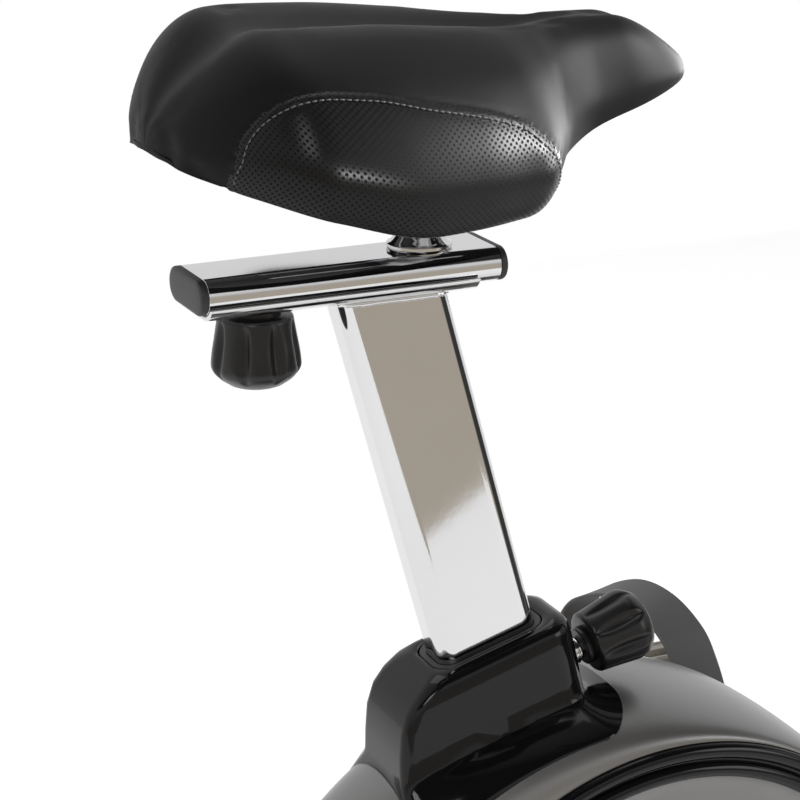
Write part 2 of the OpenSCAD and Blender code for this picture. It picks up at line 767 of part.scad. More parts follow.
module clamp_knob() color("black")
    on_mast() translate([0, 0, mast_l + 6]) rotate([0, -90, 0]) {
        translate([0, 0, -30]) cylinder(r = 3.5, h = 63);
        translate([0, 0, 31.3]) cylinder(r1 = 11, r2 = 9, h = 22);
        translate([0, 32, 48]) rotate([90, 0, 0]) cylinder(r = 8, h = 64);
        for (s = [-1, 1]) translate([0, s * 32, 48]) sphere(8);
    }

console_tilt = 48;
console_w = 190;
console_d = 150;
console_t = 34;

// Frame of the console: x away from the rider, y across, z out of the display
module on_console() on_mast() translate([14, 0, mast_l + 138]) rotate([0, -console_tilt, 0]) children();

button_ys = [-40, 40];

module console_body() color("dimgray")
    difference() {
        on_console() linear_extrude(console_t) rounded(console_d, console_w, 26);
        on_console() translate([0, 0, 3]) linear_extrude(console_t - 6)
            rounded(console_d - 6, console_w - 6, 23);
        on_console() translate([18, 0, console_t - 2.5]) linear_extrude(5) rounded(74, 130, 6);
        for (y = button_ys) on_console() translate([-48, y, console_t - 10]) cylinder(r = 9, h = 20);
    }

module console_screen() color("black")
    on_console() translate([18, 0, console_t - 2.5]) linear_extrude(2) rounded(74, 130, 6);

module console_button(i) color("gray")
    on_console() translate([-48, button_ys[i], console_t - 2.8]) {
        cylinder(r = 8.7, h = 5.3);
        translate([0, 0, -3]) cylinder(r = 11, h = 2.8);
    }

module button_left() console_button(0);

module button_right() console_button(1);

module console_bracket() color("dimgray")
    difference() {
        on_mast() translate([mast_r, -22, mast_l - 60]) cube([4, 44, 260]);
        on_console() linear_extrude(200) square([300, 300], center = true);
    }

module tension_knob() color("black")
    on_mast() translate([0, 0, tension_h]) rotate([0, -90, 0]) {
        translate([0, 0, 24]) cylinder(r = 5.95, h = 8);
        translate([0, 0, mast_r + gap]) cylinder(r1 = 24, r2 = 20, h = 20);
        translate([-2, 0, mast_r + 20]) translate([0, -19, 0]) cube([4, 38, 7]);
    }

base_beam();
seat_tube();
bottom_bracket();
mast_socket();
mast_tube();
mast_cover();
front_stabiliser();
rear_stabiliser();
frame_bolts();
end_caps();
transport_wheel_left();
transport_wheel_right();
housing_left();
housing_right();
housing_crown();
side_trims();
seat_shroud();
post_sleeve();
height_barrel();
pin_spring();
flywheel_bracket();
flywheel_axle();
flywheel();
flywheel_bearings();
drive_belt();
idler_arm();
idler_wheel();
magnet_carrier();
crank_axle();
drive_pulley();
crank_arm_left();
crank_arm_right();
pedal_left();
pedal_right();
pedal_strap_left();
pedal_strap_right();
seat_post();
slider_channel();
clamp_bolt();
slider_tube();
slider_end_caps();
saddle_stub();
saddle_clamp();
saddle_rails();
rail_clamp();
saddle_pan();
saddle_cushion();
slider_knob();
height_pin();
height_knob();
handlebar();
handlebar_grips();
handlebar_clamp();
clamp_knob();
console_body();
console_screen();
button_left();
button_right();
console_bracket();
tension_knob();
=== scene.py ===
import json
from math import cos, exp, hypot, pi, radians, sin, sqrt

import bmesh
import bpy
import numpy as np
from mathutils import Matrix, Vector, kdtree

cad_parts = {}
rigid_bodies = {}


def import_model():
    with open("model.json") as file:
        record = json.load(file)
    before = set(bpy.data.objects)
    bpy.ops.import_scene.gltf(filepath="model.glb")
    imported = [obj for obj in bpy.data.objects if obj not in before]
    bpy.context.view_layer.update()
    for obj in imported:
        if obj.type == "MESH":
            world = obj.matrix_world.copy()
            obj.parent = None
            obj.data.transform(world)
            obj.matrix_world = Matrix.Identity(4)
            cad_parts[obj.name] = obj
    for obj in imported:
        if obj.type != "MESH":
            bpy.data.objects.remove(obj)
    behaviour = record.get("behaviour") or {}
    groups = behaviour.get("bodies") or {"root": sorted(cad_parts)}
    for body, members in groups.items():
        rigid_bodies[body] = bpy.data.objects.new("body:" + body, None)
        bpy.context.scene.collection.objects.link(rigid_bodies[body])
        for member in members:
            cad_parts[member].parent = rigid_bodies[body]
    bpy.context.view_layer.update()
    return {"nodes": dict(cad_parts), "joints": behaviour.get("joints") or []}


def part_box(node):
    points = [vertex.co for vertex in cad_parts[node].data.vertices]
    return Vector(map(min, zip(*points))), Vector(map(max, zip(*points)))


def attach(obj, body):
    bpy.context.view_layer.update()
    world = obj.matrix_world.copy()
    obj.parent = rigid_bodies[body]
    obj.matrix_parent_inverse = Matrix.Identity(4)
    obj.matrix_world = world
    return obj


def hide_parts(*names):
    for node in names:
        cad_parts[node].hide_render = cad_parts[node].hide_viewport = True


for old in list(bpy.data.objects):
    bpy.data.objects.remove(old, do_unlink=True)

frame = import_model()
MM = 0.001

# ---- frames

JOINTS = {j["name"]: j for j in frame["joints"]}

# Seat frame in millimetres: x forward from the slider's rear end, z up from the slider's top
SEAT_O = Vector((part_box("slider_end_caps")[0].x, 0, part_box("slider_tube")[1].z))


def seat(x, y, z):
    return SEAT_O + Vector((x, y, z)) * MM


# Post frame in millimetres: z up the post, x forward, origin at the post's top
UP = Vector(JOINTS["seat_height"]["axis"]).normalized()
FWD = Vector((UP.z, 0, -UP.x))
POST_O = seat(108.3, 0, -21)


def post(x, y, z):
    return POST_O + (FWD * x + UP * z + Vector((0, y, 0))) * MM


def hinge(name):
    return Vector(JOINTS[name]["pos_m"])


CRANK = hinge("crank_spin")
PIN_Z = -245.6

# Housing circles in metres: crown at the middle, panel at the side
CROWN_C = Vector((-0.198, 0, 0.287))
CROWN_R = 0.224
PANEL_C = Vector((-0.164, 0, 0.318))
PANEL_R = 0.172
HOUSE_Y = 0.060


def crown_circle(y):
    """Centre and radius of the crown's slice at |y|."""
    s = 1 - sqrt(max(0.0, 1 - (min(abs(y), HOUSE_Y) / HOUSE_Y) ** 2))
    return CROWN_C.lerp(PANEL_C, s), CROWN_R + (PANEL_R - CROWN_R) * s


def crown_height(x, y):
    c, r = crown_circle(y)
    return c.z + sqrt(max(0.0, r * r - (x - c.x) ** 2))


# ---- materials

def node(nt, kind, x=0, y=0, **values):
    n = nt.nodes.new(kind)
    n.location = (x, y)
    for key, value in values.items():
        if key[0].islower():
            setattr(n, key, value)
        else:
            n.inputs[key.replace("_", " ")].default_value = value
    return n


def ramp(nt, source, stops):
    n = node(nt, "ShaderNodeValToRGB")
    e = n.color_ramp.elements
    while len(e) < len(stops):
        e.new(0.5)
    for k, (at, c) in enumerate(stops):
        e[k].position = at
        e[k].color = (c[0], c[1], c[2], 1) if hasattr(c, "__len__") else (c, c, c, 1)
    nt.links.new(source, n.inputs[0])
    return n.outputs[0]


def noise(nt, scale, detail=4, stretch=(1, 1, 1), rough=0.55):
    tc = node(nt, "ShaderNodeTexCoord")
    mp = node(nt, "ShaderNodeMapping")
    mp.inputs["Scale"].default_value = stretch
    n = node(nt, "ShaderNodeTexNoise", Scale=scale, Detail=detail, Roughness=rough)
    nt.links.new(tc.outputs["Object"], mp.inputs[0])
    nt.links.new(mp.outputs[0], n.inputs["Vector"])
    return n.outputs["Fac"]


def material(name, color, rough, metal=0.0, vary=0.12, grain=(900, 0.06), wear=(14, 0.08), coat=0.0,
             coat_rough=0.03, stretch=(1, 1, 1), spec=0.5, sheen=0.0):
    """A finish with slow colour drift, fine grain in the bump and uneven gloss."""
    m = bpy.data.materials.new(name)
    m.use_nodes = True
    nt = m.node_tree
    p = nt.nodes["Principled BSDF"]
    p.inputs["Metallic"].default_value = metal
    p.inputs["Coat Weight"].default_value = coat
    p.inputs["Coat Roughness"].default_value = coat_rough
    p.inputs["Specular IOR Level"].default_value = spec
    p.inputs["Sheen Weight"].default_value = sheen
    slow = noise(nt, wear[0], 5)
    lo = [c * (1 - vary) for c in color]
    hi = [min(1, c * (1 + vary)) for c in color]
    nt.links.new(ramp(nt, slow, [(0.35, lo), (0.65, hi)]), p.inputs["Base Color"])
    r = ramp(nt, slow, [(0.3, max(0.01, rough - wear[1])), (0.7, min(1, rough + wear[1]))])
    nt.links.new(r, p.inputs["Roughness"])
    b = node(nt, "ShaderNodeBump", Strength=grain[1], Distance=0.0004)
    nt.links.new(noise(nt, grain[0], 3, stretch), b.inputs["Height"])
    nt.links.new(b.outputs[0], p.inputs["Normal"])
    return m


M = {
    "frame_paint": material("frame_paint", (0.035, 0.036, 0.04), 0.42, 0.2, grain=(1500, 0.08), coat=0.3),
    "chrome_tube": material("chrome_tube", (0.665, 0.665, 0.67), 0.07, 1.0, vary=0.02, grain=(260, 0.008),
                            wear=(9, 0.03)),
    "plain_steel": material("plain_steel", (0.50, 0.50, 0.51), 0.32, 1.0, grain=(700, 0.08)),
    "zinc_bolt": material("zinc_bolt", (0.58, 0.58, 0.57), 0.30, 1.0, grain=(900, 0.08)),
    "cast_iron": material("cast_iron", (0.13, 0.13, 0.135), 0.55, 0.9, grain=(500, 0.3)),
    "grey_shell": material("grey_shell", (0.205, 0.202, 0.199), 0.35, 0.70, vary=0.05, grain=(2600, 0.12),
                           wear=(10, 0.03), coat=0.25, coat_rough=0.16),
    "gloss_black": material("gloss_black", (0.005, 0.005, 0.0055), 0.08, 0.0, vary=0.1, grain=(300, 0.004),
                            wear=(12, 0.02), spec=0.27),
    "matte_black": material("matte_black", (0.018, 0.018, 0.019), 0.50, grain=(1800, 0.14)),
    "knob_black": material("knob_black", (0.008, 0.008, 0.0085), 0.33, vary=0.1, grain=(1500, 0.02),
                           wear=(30, 0.03), spec=0.4),
    "knob_disc": material("knob_disc", (0.52, 0.52, 0.52), 0.35, vary=0.04, grain=(1200, 0.03)),
    "pedal_grey": material("pedal_grey", (0.40, 0.365, 0.315), 0.55, grain=(1300, 0.12)),
    "strap_rubber": material("strap_rubber", (0.12, 0.119, 0.122), 0.55, vary=0.08, grain=(2200, 0.12)),
    "belt_rubber": material("belt_rubber", (0.012, 0.012, 0.012), 0.7, grain=(1500, 0.2)),
    "foam": material("foam", (0.016, 0.016, 0.017), 0.85, grain=(1900, 0.5), sheen=0.2),
    "saddle_cover": material("saddle_cover", (0.0042, 0.0041, 0.0045), 0.50, vary=0.10, grain=(1900, 0.08),
                             wear=(22, 0.04), spec=0.085),
    "lens": material("lens", (0.03, 0.035, 0.035), 0.08, coat=0.6, grain=(300, 0.003)),
    "button_grey": material("button_grey", (0.24, 0.25, 0.26), 0.45, grain=(1500, 0.08)),
    "thread": material("thread", (0.075, 0.075, 0.075), 0.6, grain=(5000, 0.3)),
}


def perforated():
    """Glossier vinyl with staggered rows of small holes, laid out in millimetres on the panel's own map. The
    holes are painted shade: the base colour darkens towards each hole's middle, and the roughness rises
    there.
    """
    m = material("perforated_vinyl", (0.004, 0.004, 0.0042), 0.27, vary=0.1, grain=(2400, 0.04),
                 wear=(20, 0.03), spec=0.20)
    nt = m.node_tree
    p = nt.nodes["Principled BSDF"]
    uv = node(nt, "ShaderNodeUVMap", uv_map="panel_mm")
    sep = node(nt, "ShaderNodeSeparateXYZ")
    nt.links.new(uv.outputs[0], sep.inputs[0])

    def op(kind, a, b=None, c=None):
        n = node(nt, "ShaderNodeMath", operation=kind)
        for k, v in enumerate((a, b, c)):
            if v is None:
                continue
            if isinstance(v, (int, float)):
                n.inputs[k].default_value = v
            else:
                nt.links.new(v, n.inputs[k])
        return n.outputs[0]

    row = op("DIVIDE", sep.outputs[1], HOLE_ROW)
    odd = op("MULTIPLY", op("MODULO", op("FLOOR", row), 2.0), 0.5)
    col = op("ADD", op("DIVIDE", sep.outputs[0], HOLE_PITCH), odd)
    dx = op("MULTIPLY", op("SUBTRACT", op("FRACT", col), 0.5), HOLE_PITCH)
    dy = op("MULTIPLY", op("SUBTRACT", op("FRACT", row), 0.5), HOLE_ROW)
    d = op("SQRT", op("ADD", op("MULTIPLY", dx, dx), op("MULTIPLY", dy, dy)))
    # painted shade: the base colour is multiplied down to 0.06 in the middle of each hole, standing in for
    # the shade inside it
    hole = ramp(nt, op("DIVIDE", d, HOLE_R * 2), [(0.36, 0.06), (0.56, 1.0)])
    mix = node(nt, "ShaderNodeMix", data_type="RGBA", blend_type="MULTIPLY")
    mix.inputs[0].default_value = 1.0
    old = p.inputs["Base Color"].links[0].from_socket
    nt.links.new(old, mix.inputs[6])
    nt.links.new(hole, mix.inputs[7])
    nt.links.new(mix.outputs[2], p.inputs["Base Color"])
    rough = ramp(nt, op("DIVIDE", d, HOLE_R * 2), [(0.35, 0.9), (0.6, 0.30)])
    nt.links.new(rough, p.inputs["Roughness"])
    return m


HOLE_PITCH = 3.6
HOLE_ROW = 1.8
HOLE_R = 0.75
M["perforated"] = perforated()

for n, o in frame["nodes"].items():
    for s in o.material_slots:
        s.material = M[s.material.name.split(".")[0]]

# ---- mesh helpers


def solid(name, verts, faces, weld=False, recalc=True):
    """New object from points and faces, with its normals turned outwards."""
    me = bpy.data.meshes.new(name)
    me.from_pydata([tuple(v) for v in verts], [], faces)
    bm = bmesh.new()
    bm.from_mesh(me)
    if weld:
        bmesh.ops.remove_doubles(bm, verts=bm.verts, dist=2e-6)
        bmesh.ops.dissolve_degenerate(bm, edges=bm.edges, dist=1e-7)
    if recalc:
        bmesh.ops.recalc_face_normals(bm, faces=bm.faces)
    bm.to_mesh(me)
    bm.free()
    ob = bpy.data.objects.new(name, me)
    bpy.context.scene.collection.objects.link(ob)
    return ob


def piece(name, shape, body, slot, nodes=(), mat=None, sharp=35, recalc=True):
    """A visible piece that rides on a body and stands for the named CAD nodes."""
    ob = solid(name, *shape, weld=True, recalc=recalc)
    ob.data.materials.append(mat or M[slot])
    shade(ob, sharp)
    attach(ob, body)
    if nodes:
        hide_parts(*nodes)
    return ob


def shade(ob, sharp):
    me = ob.data
    me.polygons.foreach_set("use_smooth", [True] * len(me.polygons))
    me.set_sharp_from_angle(angle=radians(sharp))


def settle(ob, sharp=35):
    """Applies the object's modifiers."""
    dg = bpy.context.evaluated_depsgraph_get()
    me = bpy.data.meshes.new_from_object(ob.evaluated_get(dg))
    ob.modifiers.clear()
    ob.data = me
    shade(ob, sharp)


def rounded(ob, width, segments=3, sharp=35, angle=30):
    m = ob.modifiers.new("edges", "BEVEL")
    m.width = width * MM
    m.segments = segments
    m.limit_method = "ANGLE"
    m.angle_limit = radians(angle)
    m.harden_normals = False
    settle(ob, sharp)


def cut(ob, cutters, sharp=35):
    for c in cutters:
        m = ob.modifiers.new("cut", "BOOLEAN")
        m.operation = "DIFFERENCE"
        m.solver = "EXACT"
        m.object = c
    settle(ob, sharp)
    for c in cutters:
        bpy.data.objects.remove(c, do_unlink=True)


def cutter(shape):
    return solid("cutter", *shape)


def loft(rings, caps=True, closed=False):
    """Closed rings of equal length joined in order."""
    n = len(rings[0])
    verts = [v for r in rings for v in r]
    faces = []
    last = len(rings) if closed else len(rings) - 1
    for i in range(last):
        a, b = i * n, ((i + 1) % len(rings)) * n
        faces += [(a + k, a + (k + 1) % n, b + (k + 1) % n, b + k) for k in range(n)]
    if caps and not closed:
        faces.append(tuple(range(n - 1, -1, -1)))
        faces.append(tuple((len(rings) - 1) * n + k for k in range(n)))
    return verts, faces


def sheet(rows):
    """Open surface through rows of equal length."""
    n = len(rows[0])
    faces = [(i * n + k, i * n + k + 1, (i + 1) * n + k + 1, (i + 1) * n + k)
             for i in range(len(rows) - 1) for k in range(n - 1)]
    return [p for row in rows for p in row], faces


def spin(profile, place, sides=72):
    """Revolves (radius, height) pairs about the height axis; place(x, y, h) gives the point."""
    rings = []
    for r, h in profile:
        rings.append([place(max(r, 0.01) * cos(2 * pi * k / sides), max(r, 0.01) * sin(2 * pi * k / sides), h)
                      for k in range(sides)])
    return loft(rings)


def round_corner(points, radius, steps=5):
    """Polyline with its inner corners rounded; points are (a, b) or (a, b, radius)."""
    out = [points[0][:2]]
    for i in range(1, len(points) - 1):
        p0, p1, p2 = (Vector(points[j][:2]) for j in (i - 1, i, i + 1))
        r = points[i][2] if len(points[i]) > 2 else radius
        d0, d1 = (p0 - p1), (p2 - p1)
        t = min(r, d0.length * 0.48, d1.length * 0.48)
        a, b = p1 + d0.normalized() * t, p1 + d1.normalized() * t
        for k in range(steps + 1):
            u = k / steps
            q = a * (1 - u) ** 2 + p1 * 2 * u * (1 - u) + b * u * u
            out.append((q.x, q.y))
    out.append(points[-1][:2])
    return out


def straight(a, b, count=4, near=0.8):
    """Points on the line from a to b without its ends, with one close to each end."""
    length = max(hypot(b[0] - a[0], b[1] - a[1]), 1e-6)
    edge = min(near / length, 0.1)
    places = [edge] + [k / (count + 1) for k in range(1, count + 1)] + [1 - edge]
    return [(a[0] + (b[0] - a[0]) * t, a[1] + (b[1] - a[1]) * t) for t in places]


def flat_between(arcs):
    """Closed outline from its arcs, with points along the straights between them."""
    out = []
    for k, arc in enumerate(arcs):
        out += arc + straight(arc[-1], arcs[(k + 1) % len(arcs)][0])
    return out


def rounded_rect(w, h, r, steps=10):
    """Outline of a rounded rectangle, w along the first axis."""
    arcs = []
    for k, (sx, sy) in enumerate(((1, 1), (-1, 1), (-1, -1), (1, -1))):
        cx, cy = sx * (w / 2 - r), sy * (h / 2 - r)
        turns = [(k + i / steps) * pi / 2 for i in range(steps + 1)]
        arcs.append([(cx + r * cos(a), cy + r * sin(a)) for a in turns])
    return flat_between(arcs)


def smooth_path(points, steps):
    """Catmull-Rom curve through the points."""
    p = [Vector(q) for q in points]
    p = [2 * p[0] - p[1]] + p + [2 * p[-1] - p[-2]]
    out = []
    for i in range(1, len(p) - 2):
        for k in range(steps):
            t = k / steps
            out.append(0.5 * (2 * p[i] + (p[i + 1] - p[i - 1]) * t
                              + (2 * p[i - 1] - 5 * p[i] + 4 * p[i + 1] - p[i + 2]) * t * t
                              + (3 * p[i] - p[i - 1] - 3 * p[i + 1] + p[i + 2]) * t ** 3))
    out.append(p[-2])
    return out


def pipe(path, radius, sides=24, caps=True, start=None):
    """Round tube along a path in metres; radius in millimetres, a number or one for each point."""
    rings = []
    side = start
    for i, q in enumerate(path):
        t = (path[min(i + 1, len(path) - 1)] - path[max(i - 1, 0)]).normalized()
        if side is None:
            side = t.orthogonal().normalized()
        side = (side - t * side.dot(t)).normalized()
        other = t.cross(side)
        r = (radius[i] if hasattr(radius, "__len__") else radius) * MM
        rings.append([q + side * (r * cos(2 * pi * k / sides)) + other * (r * sin(2 * pi * k / sides))
                      for k in range(sides)])
    return loft(rings, caps)


def join(*parts):
    verts, faces = [], []
    for v, f in parts:
        n = len(verts)
        verts += list(v)
        faces += [tuple(i + n for i in q) for q in f]
    return verts, faces


# ---- saddle

# Saddle tables: millimetres along the seat frame's x, then the value there
SAD_X0, SAD_X1 = -18.0, 281.0
HALF_W = ([-18, 30, 70, 110, 145, 170, 190, 215, 250, 281],
          [93, 110.5, 114, 109.5, 99, 76, 49.5, 34.5, 28, 24])
CREST = ([-18, 30, 80, 130, 180, 230, 281], [104, 122.5, 121, 116.5, 112, 113.5, 97.5])
SKIRT = ([-18, 8, 40, 90, 140, 180, 220, 281], [60, 53.5, 43.5, 32.5, 34.5, 49, 62.5, 76.5])
GROOVE = ([-18, 20, 80, 140, 200, 281], [2.5, 9.5, 12, 10.5, 3.5, 0])
ROUND_REAR, ROUND_NOSE, LIFT_REAR, LIFT_NOSE = 56.0, 47.0, 52.0, 49.0
CLOSE_REAR, CLOSE_NOSE, TUCK_REAR = 63.0, 80.0, 10.0
CREST_AT, SHOULDER, WIDEST, TUCK = 0.39, 0.18, 0.67, 0.09
PAN_Z = 54.0


def pchip(table, x):
    xs, ys = (np.asarray(a, float) for a in table)
    h = np.diff(xs)
    d = np.diff(ys) / h
    m = np.zeros(len(xs))
    for i in range(1, len(xs) - 1):
        if d[i - 1] * d[i] > 0:
            w1, w2 = 2 * h[i] + h[i - 1], h[i] + 2 * h[i - 1]
            m[i] = (w1 + w2) / (w1 / d[i - 1] + w2 / d[i])
    m[0], m[-1] = d[0], d[-1]
    x = np.clip(x, xs[0], xs[-1])
    i = np.clip(np.searchsorted(xs, x) - 1, 0, len(xs) - 2)
    t = (x - xs[i]) / h[i]
    return ((2 * t ** 3 - 3 * t ** 2 + 1) * ys[i] + (t ** 3 - 2 * t ** 2 + t) * h[i] * m[i]
            + (-2 * t ** 3 + 3 * t ** 2) * ys[i + 1] + (t ** 3 - t ** 2) * h[i] * m[i + 1])


def cap_curve(d, r):
    u = np.clip(d / r, 0, 1)
    return np.sqrt(np.maximum(0, 1 - (1 - u) ** 2))


def saddle_point(x, v):
    """Half-section of the saddle at x, arrays of equal shape: v runs 0 at the middle of the top to 5 at the
    skirt's lower edge, then to 8 at the middle of the underside."""
    ends = cap_curve(x - SAD_X0, ROUND_REAR) * cap_curve(SAD_X1 - x, ROUND_NOSE)
    w = pchip(HALF_W, x) * np.maximum(ends, 0.02)
    cz = np.minimum(cap_curve(x - SAD_X0, LIFT_REAR) ** 0.66, cap_curve(SAD_X1 - x, LIFT_NOSE) ** 0.8)
    zm = CLOSE_REAR + (CLOSE_NOSE - CLOSE_REAR) * (x - SAD_X0) / (SAD_X1 - SAD_X0)
    low = np.minimum(cap_curve(x - SAD_X0, TUCK_REAR), cap_curve(SAD_X1 - x, LIFT_NOSE) ** 0.8)
    zt = zm + (pchip(CREST, x) - zm) * cz
    zb = zm + (pchip(SKIRT, x) - zm) * low
    zg = zt - pchip(GROOVE, x) * cz
    zi = np.minimum(np.maximum(zb + 3, PAN_Z + 5), (zt + zb) / 2)
    yl = w * CREST_AT
    drop = zt - zb
    cy = [-yl * 0.5, 0 * w, yl * 0.5, yl, w * (CREST_AT * 0.35 + 0.60), w, w * (1 - TUCK),
          w * 0.84, w * 0.5, 0 * w, -w * 0.5]
    czs = [zg + (zt - zg) * 0.62, zg, zg + (zt - zg) * 0.62, zt, zt - drop * SHOULDER, zt - drop * WIDEST, zb,
           zi, zi, zi, zi]
    seg = np.clip(np.floor(v).astype(int), 0, 7)
    f = v - seg
    take = lambda table, k: np.choose(np.clip(seg + k, 0, 10), table)
    out = []
    for table in (cy, czs):
        p0, p1, p2, p3 = (take(table, k) for k in range(4))
        curve = 0.5 * (2 * p1 + (p2 - p0) * f + (2 * p0 - 5 * p1 + 4 * p2 - p3) * f ** 2
                       + (3 * p1 - p0 - 3 * p2 + p3) * f ** 3)
        # the skirt's lower edge turns in tightly
        straight = p1 + (p2 - p1) * f
        out.append(np.where(v > 5, straight, curve))
    return out[0], out[1]


# Perforated side panel: its upper edge, as the section parameter v along x
PANEL_EDGE = ([-1, 0, 4, 14, 25, 41, 61, 90, 115, 130, 141, 149, 156, 162, 167],
              [5.0, 4.1, 3.62, 3.36, 3.26, 3.20, 3.20, 3.29, 3.37, 3.45, 3.55, 3.75, 4.0, 4.4, 5.0])
PANEL_X0, PANEL_X1 = -1.0, 167.0


def softened(half, V, passes=28):
    """Irons the crest and shoulder out across the saddle, and leaves the skirt alone."""
    w = np.clip((4.6 - V) / 0.5, 0, 1)[..., None]
    out = half.copy()
    for _ in range(passes):
        first = out[:, 1:2] * np.array([1, -1, 1])
        before = np.concatenate([first, out[:, :-1]], axis=1)
        after = np.concatenate([out[:, 1:], out[:, -1:]], axis=1)
        out = out + w * ((before + 2 * out + after) / 4 - out)
    out[:, 0, 1] = 0
    return out


def saddle_grid(nx, counts):
    """x values and v values of a grid, finer at both ends of the saddle."""
    t = np.linspace(0, 1, nx)
    x = SAD_X0 + (SAD_X1 - SAD_X0) * (0.35 * t + 0.65 * (1 - np.cos(pi * t)) / 2)
    v = np.concatenate([np.linspace(a, b, n, endpoint=False) for a, b, n in counts] + [[8.0]])
    return x, v


def saddle_mesh(x, v, move=None):
    """Closed saddle surface. Rows run along x, columns right round the section."""
    X, V = np.meshgrid(x, v, indexing="ij")
    Y, Z = saddle_point(X, V)
    half = np.stack([X, Y, Z], axis=-1)
    if move is not None:
        half = softened(half, V) + move(X, V, half)
    right = half[:, -2:0:-1] * np.array([1, -1, 1])
    ring = np.concatenate([half, right], axis=1)
    n = ring.shape[1]
    verts = [seat(*p) for p in ring.reshape(-1, 3)]
    faces = []
    for i in range(len(x) - 1):
        for k in range(n):
            faces.append((i * n + k, i * n + (k + 1) % n, (i + 1) * n + (k + 1) % n, (i + 1) * n + k))
    faces.append(tuple(range(n - 1, -1, -1)))
    faces.append(tuple((len(x) - 1) * n + k for k in range(n)))
    return verts, faces, n


def inflate():
    """Blows the cover up a little with cloth, and returns the push outwards as a smooth field on (x, v)."""
    x, v = saddle_grid(54, [(0, 2, 7), (2, 4, 11), (4, 5, 5), (5, 8, 10)])
    verts, faces, n = saddle_mesh(x, v)
    ob = solid("blank", verts, faces)
    me = ob.data
    pin = ob.vertex_groups.new(name="pin")
    held = [i for i in range(len(verts)) if v[min(i % n, (2 * (len(v) - 1)) - i % n)] > 5.2]
    pin.add(held, 1.0, "REPLACE")
    c = ob.modifiers.new("cloth", "CLOTH")
    c.settings.use_pressure = True
    c.settings.uniform_pressure_force = 4
    c.settings.vertex_group_mass = "pin"
    c.settings.tension_stiffness = 30
    c.settings.compression_stiffness = 30
    c.settings.bending_stiffness = 1.0
    c.settings.quality = 6
    c.settings.effector_weights.gravity = 0
    c.collision_settings.use_collision = False
    c.point_cache.frame_start, c.point_cache.frame_end = 1, 20
    scene = bpy.context.scene
    for f in range(1, 21):
        scene.frame_set(f)
    dg = bpy.context.evaluated_depsgraph_get()
    done = ob.evaluated_get(dg).to_mesh()
    a = np.array([tuple(q.co) for q in me.vertices])
    b = np.array([tuple(q.co) for q in done.vertices])
    push = (b - a) / MM
    bpy.data.objects.remove(ob, do_unlink=True)
    scene.frame_set(1)
    push = push.reshape(len(x), n, 3)[:, :len(v)]
    size = np.linalg.norm(push, axis=-1, keepdims=True)
    push = push * np.minimum(1, PUFF_CAP / np.maximum(size, 1e-9))
    push[:, 0, 1] = 0
    return x, v, push


PUFF_CAP = 2.5


def field(gx, gv, values):
    """Bilinear lookup on the coarse grid."""
    def look(X, V):
        i = np.clip(np.searchsorted(gx, X) - 1, 0, len(gx) - 2)
        j = np.clip(np.searchsorted(gv, V) - 1, 0, len(gv) - 2)
        s = ((X - gx[i]) / (gx[i + 1] - gx[i]))[..., None]
        t = ((V - gv[j]) / (gv[j + 1] - gv[j]))[..., None]
        return (values[i, j] * (1 - s) * (1 - t) + values[i + 1, j] * s * (1 - t)
                + values[i, j + 1] * (1 - s) * t + values[i + 1, j + 1] * s * t)
    return look


def outward(half):
    """Unit normals of the half grid, pointing out of the saddle."""
    dx = np.gradient(half, axis=0)
    dv = np.gradient(half, axis=1)
    n = np.cross(dv, dx)
    n /= np.maximum(np.linalg.norm(n, axis=-1, keepdims=True), 1e-9)
    mid = half.mean(axis=(0, 1))
    sign = np.sign(((half - mid) * n).sum())
    return n * sign


puff = field(*inflate())


def seam_distance(X, V, half):
    """Signed distance in millimetres from the panel's edge, positive inside the panel."""
    ex = np.linspace(PANEL_X0, PANEL_X1, 240)
    ev = pchip(PANEL_EDGE, ex)
    ey, ez = saddle_point(ex, ev)
    edge = np.stack([ex, ey, ez], axis=-1)
    flat = half.reshape(-1, 3)
    best = np.full(len(flat), 1e9)
    for k in range(0, len(edge), 2):
        best = np.minimum(best, ((flat - edge[k]) ** 2).sum(axis=1))
    best = np.sqrt(best).reshape(X.shape)
    inside = (V > pchip(PANEL_EDGE, X)) & (X > PANEL_X0) & (X < PANEL_X1) & (V < 5.35)
    return np.where(inside, best, -best)


def cover_relief(X, V, half):
    """Cloth swell, the raised panel with its seam, and the fuller front end of the wing."""
    out = np.zeros_like(half)
    if puff is not None:
        out += puff(X, V)
    n = outward(half)
    d = seam_distance(X, V, half)
    step = 0.9 / (1 + np.exp(-d * 1.6)) - 1.1 * np.exp(-(d / 1.4) ** 2)
    step = step + 0.35 * np.exp(-((d - 6.0) / 1.6) ** 2) * -1.0
    bulge = 3.2 * np.exp(-((X - 152) / 13) ** 2) * np.exp(-((V - 4.15) / 0.7) ** 2)
    fade = np.clip((5.25 - V) / 0.3, 0, 1)
    out += n * ((step + bulge) * fade)[..., None]
    return out


gx, gv = saddle_grid(150, [(0, 2, 18), (2, 3, 16), (3, 5, 64), (5, 5.3, 4), (5.3, 8, 8)])
cover = piece("saddle_cover", saddle_mesh(gx, gv, cover_relief)[:2], "saddle", "saddle_cover",
              ["saddle_cushion"], sharp=80)
cover.data.materials.append(M["perforated"])


def cover_half():
    """The cover's half grid in millimetres, and each point's distance inside the panel's edge."""
    X, V = np.meshgrid(gx, gv, indexing="ij")
    raw = np.stack([X, *saddle_point(X, V)], axis=-1)
    return softened(raw, V) + cover_relief(X, V, raw), seam_distance(X, V, raw)


HALF, INSIDE = cover_half()


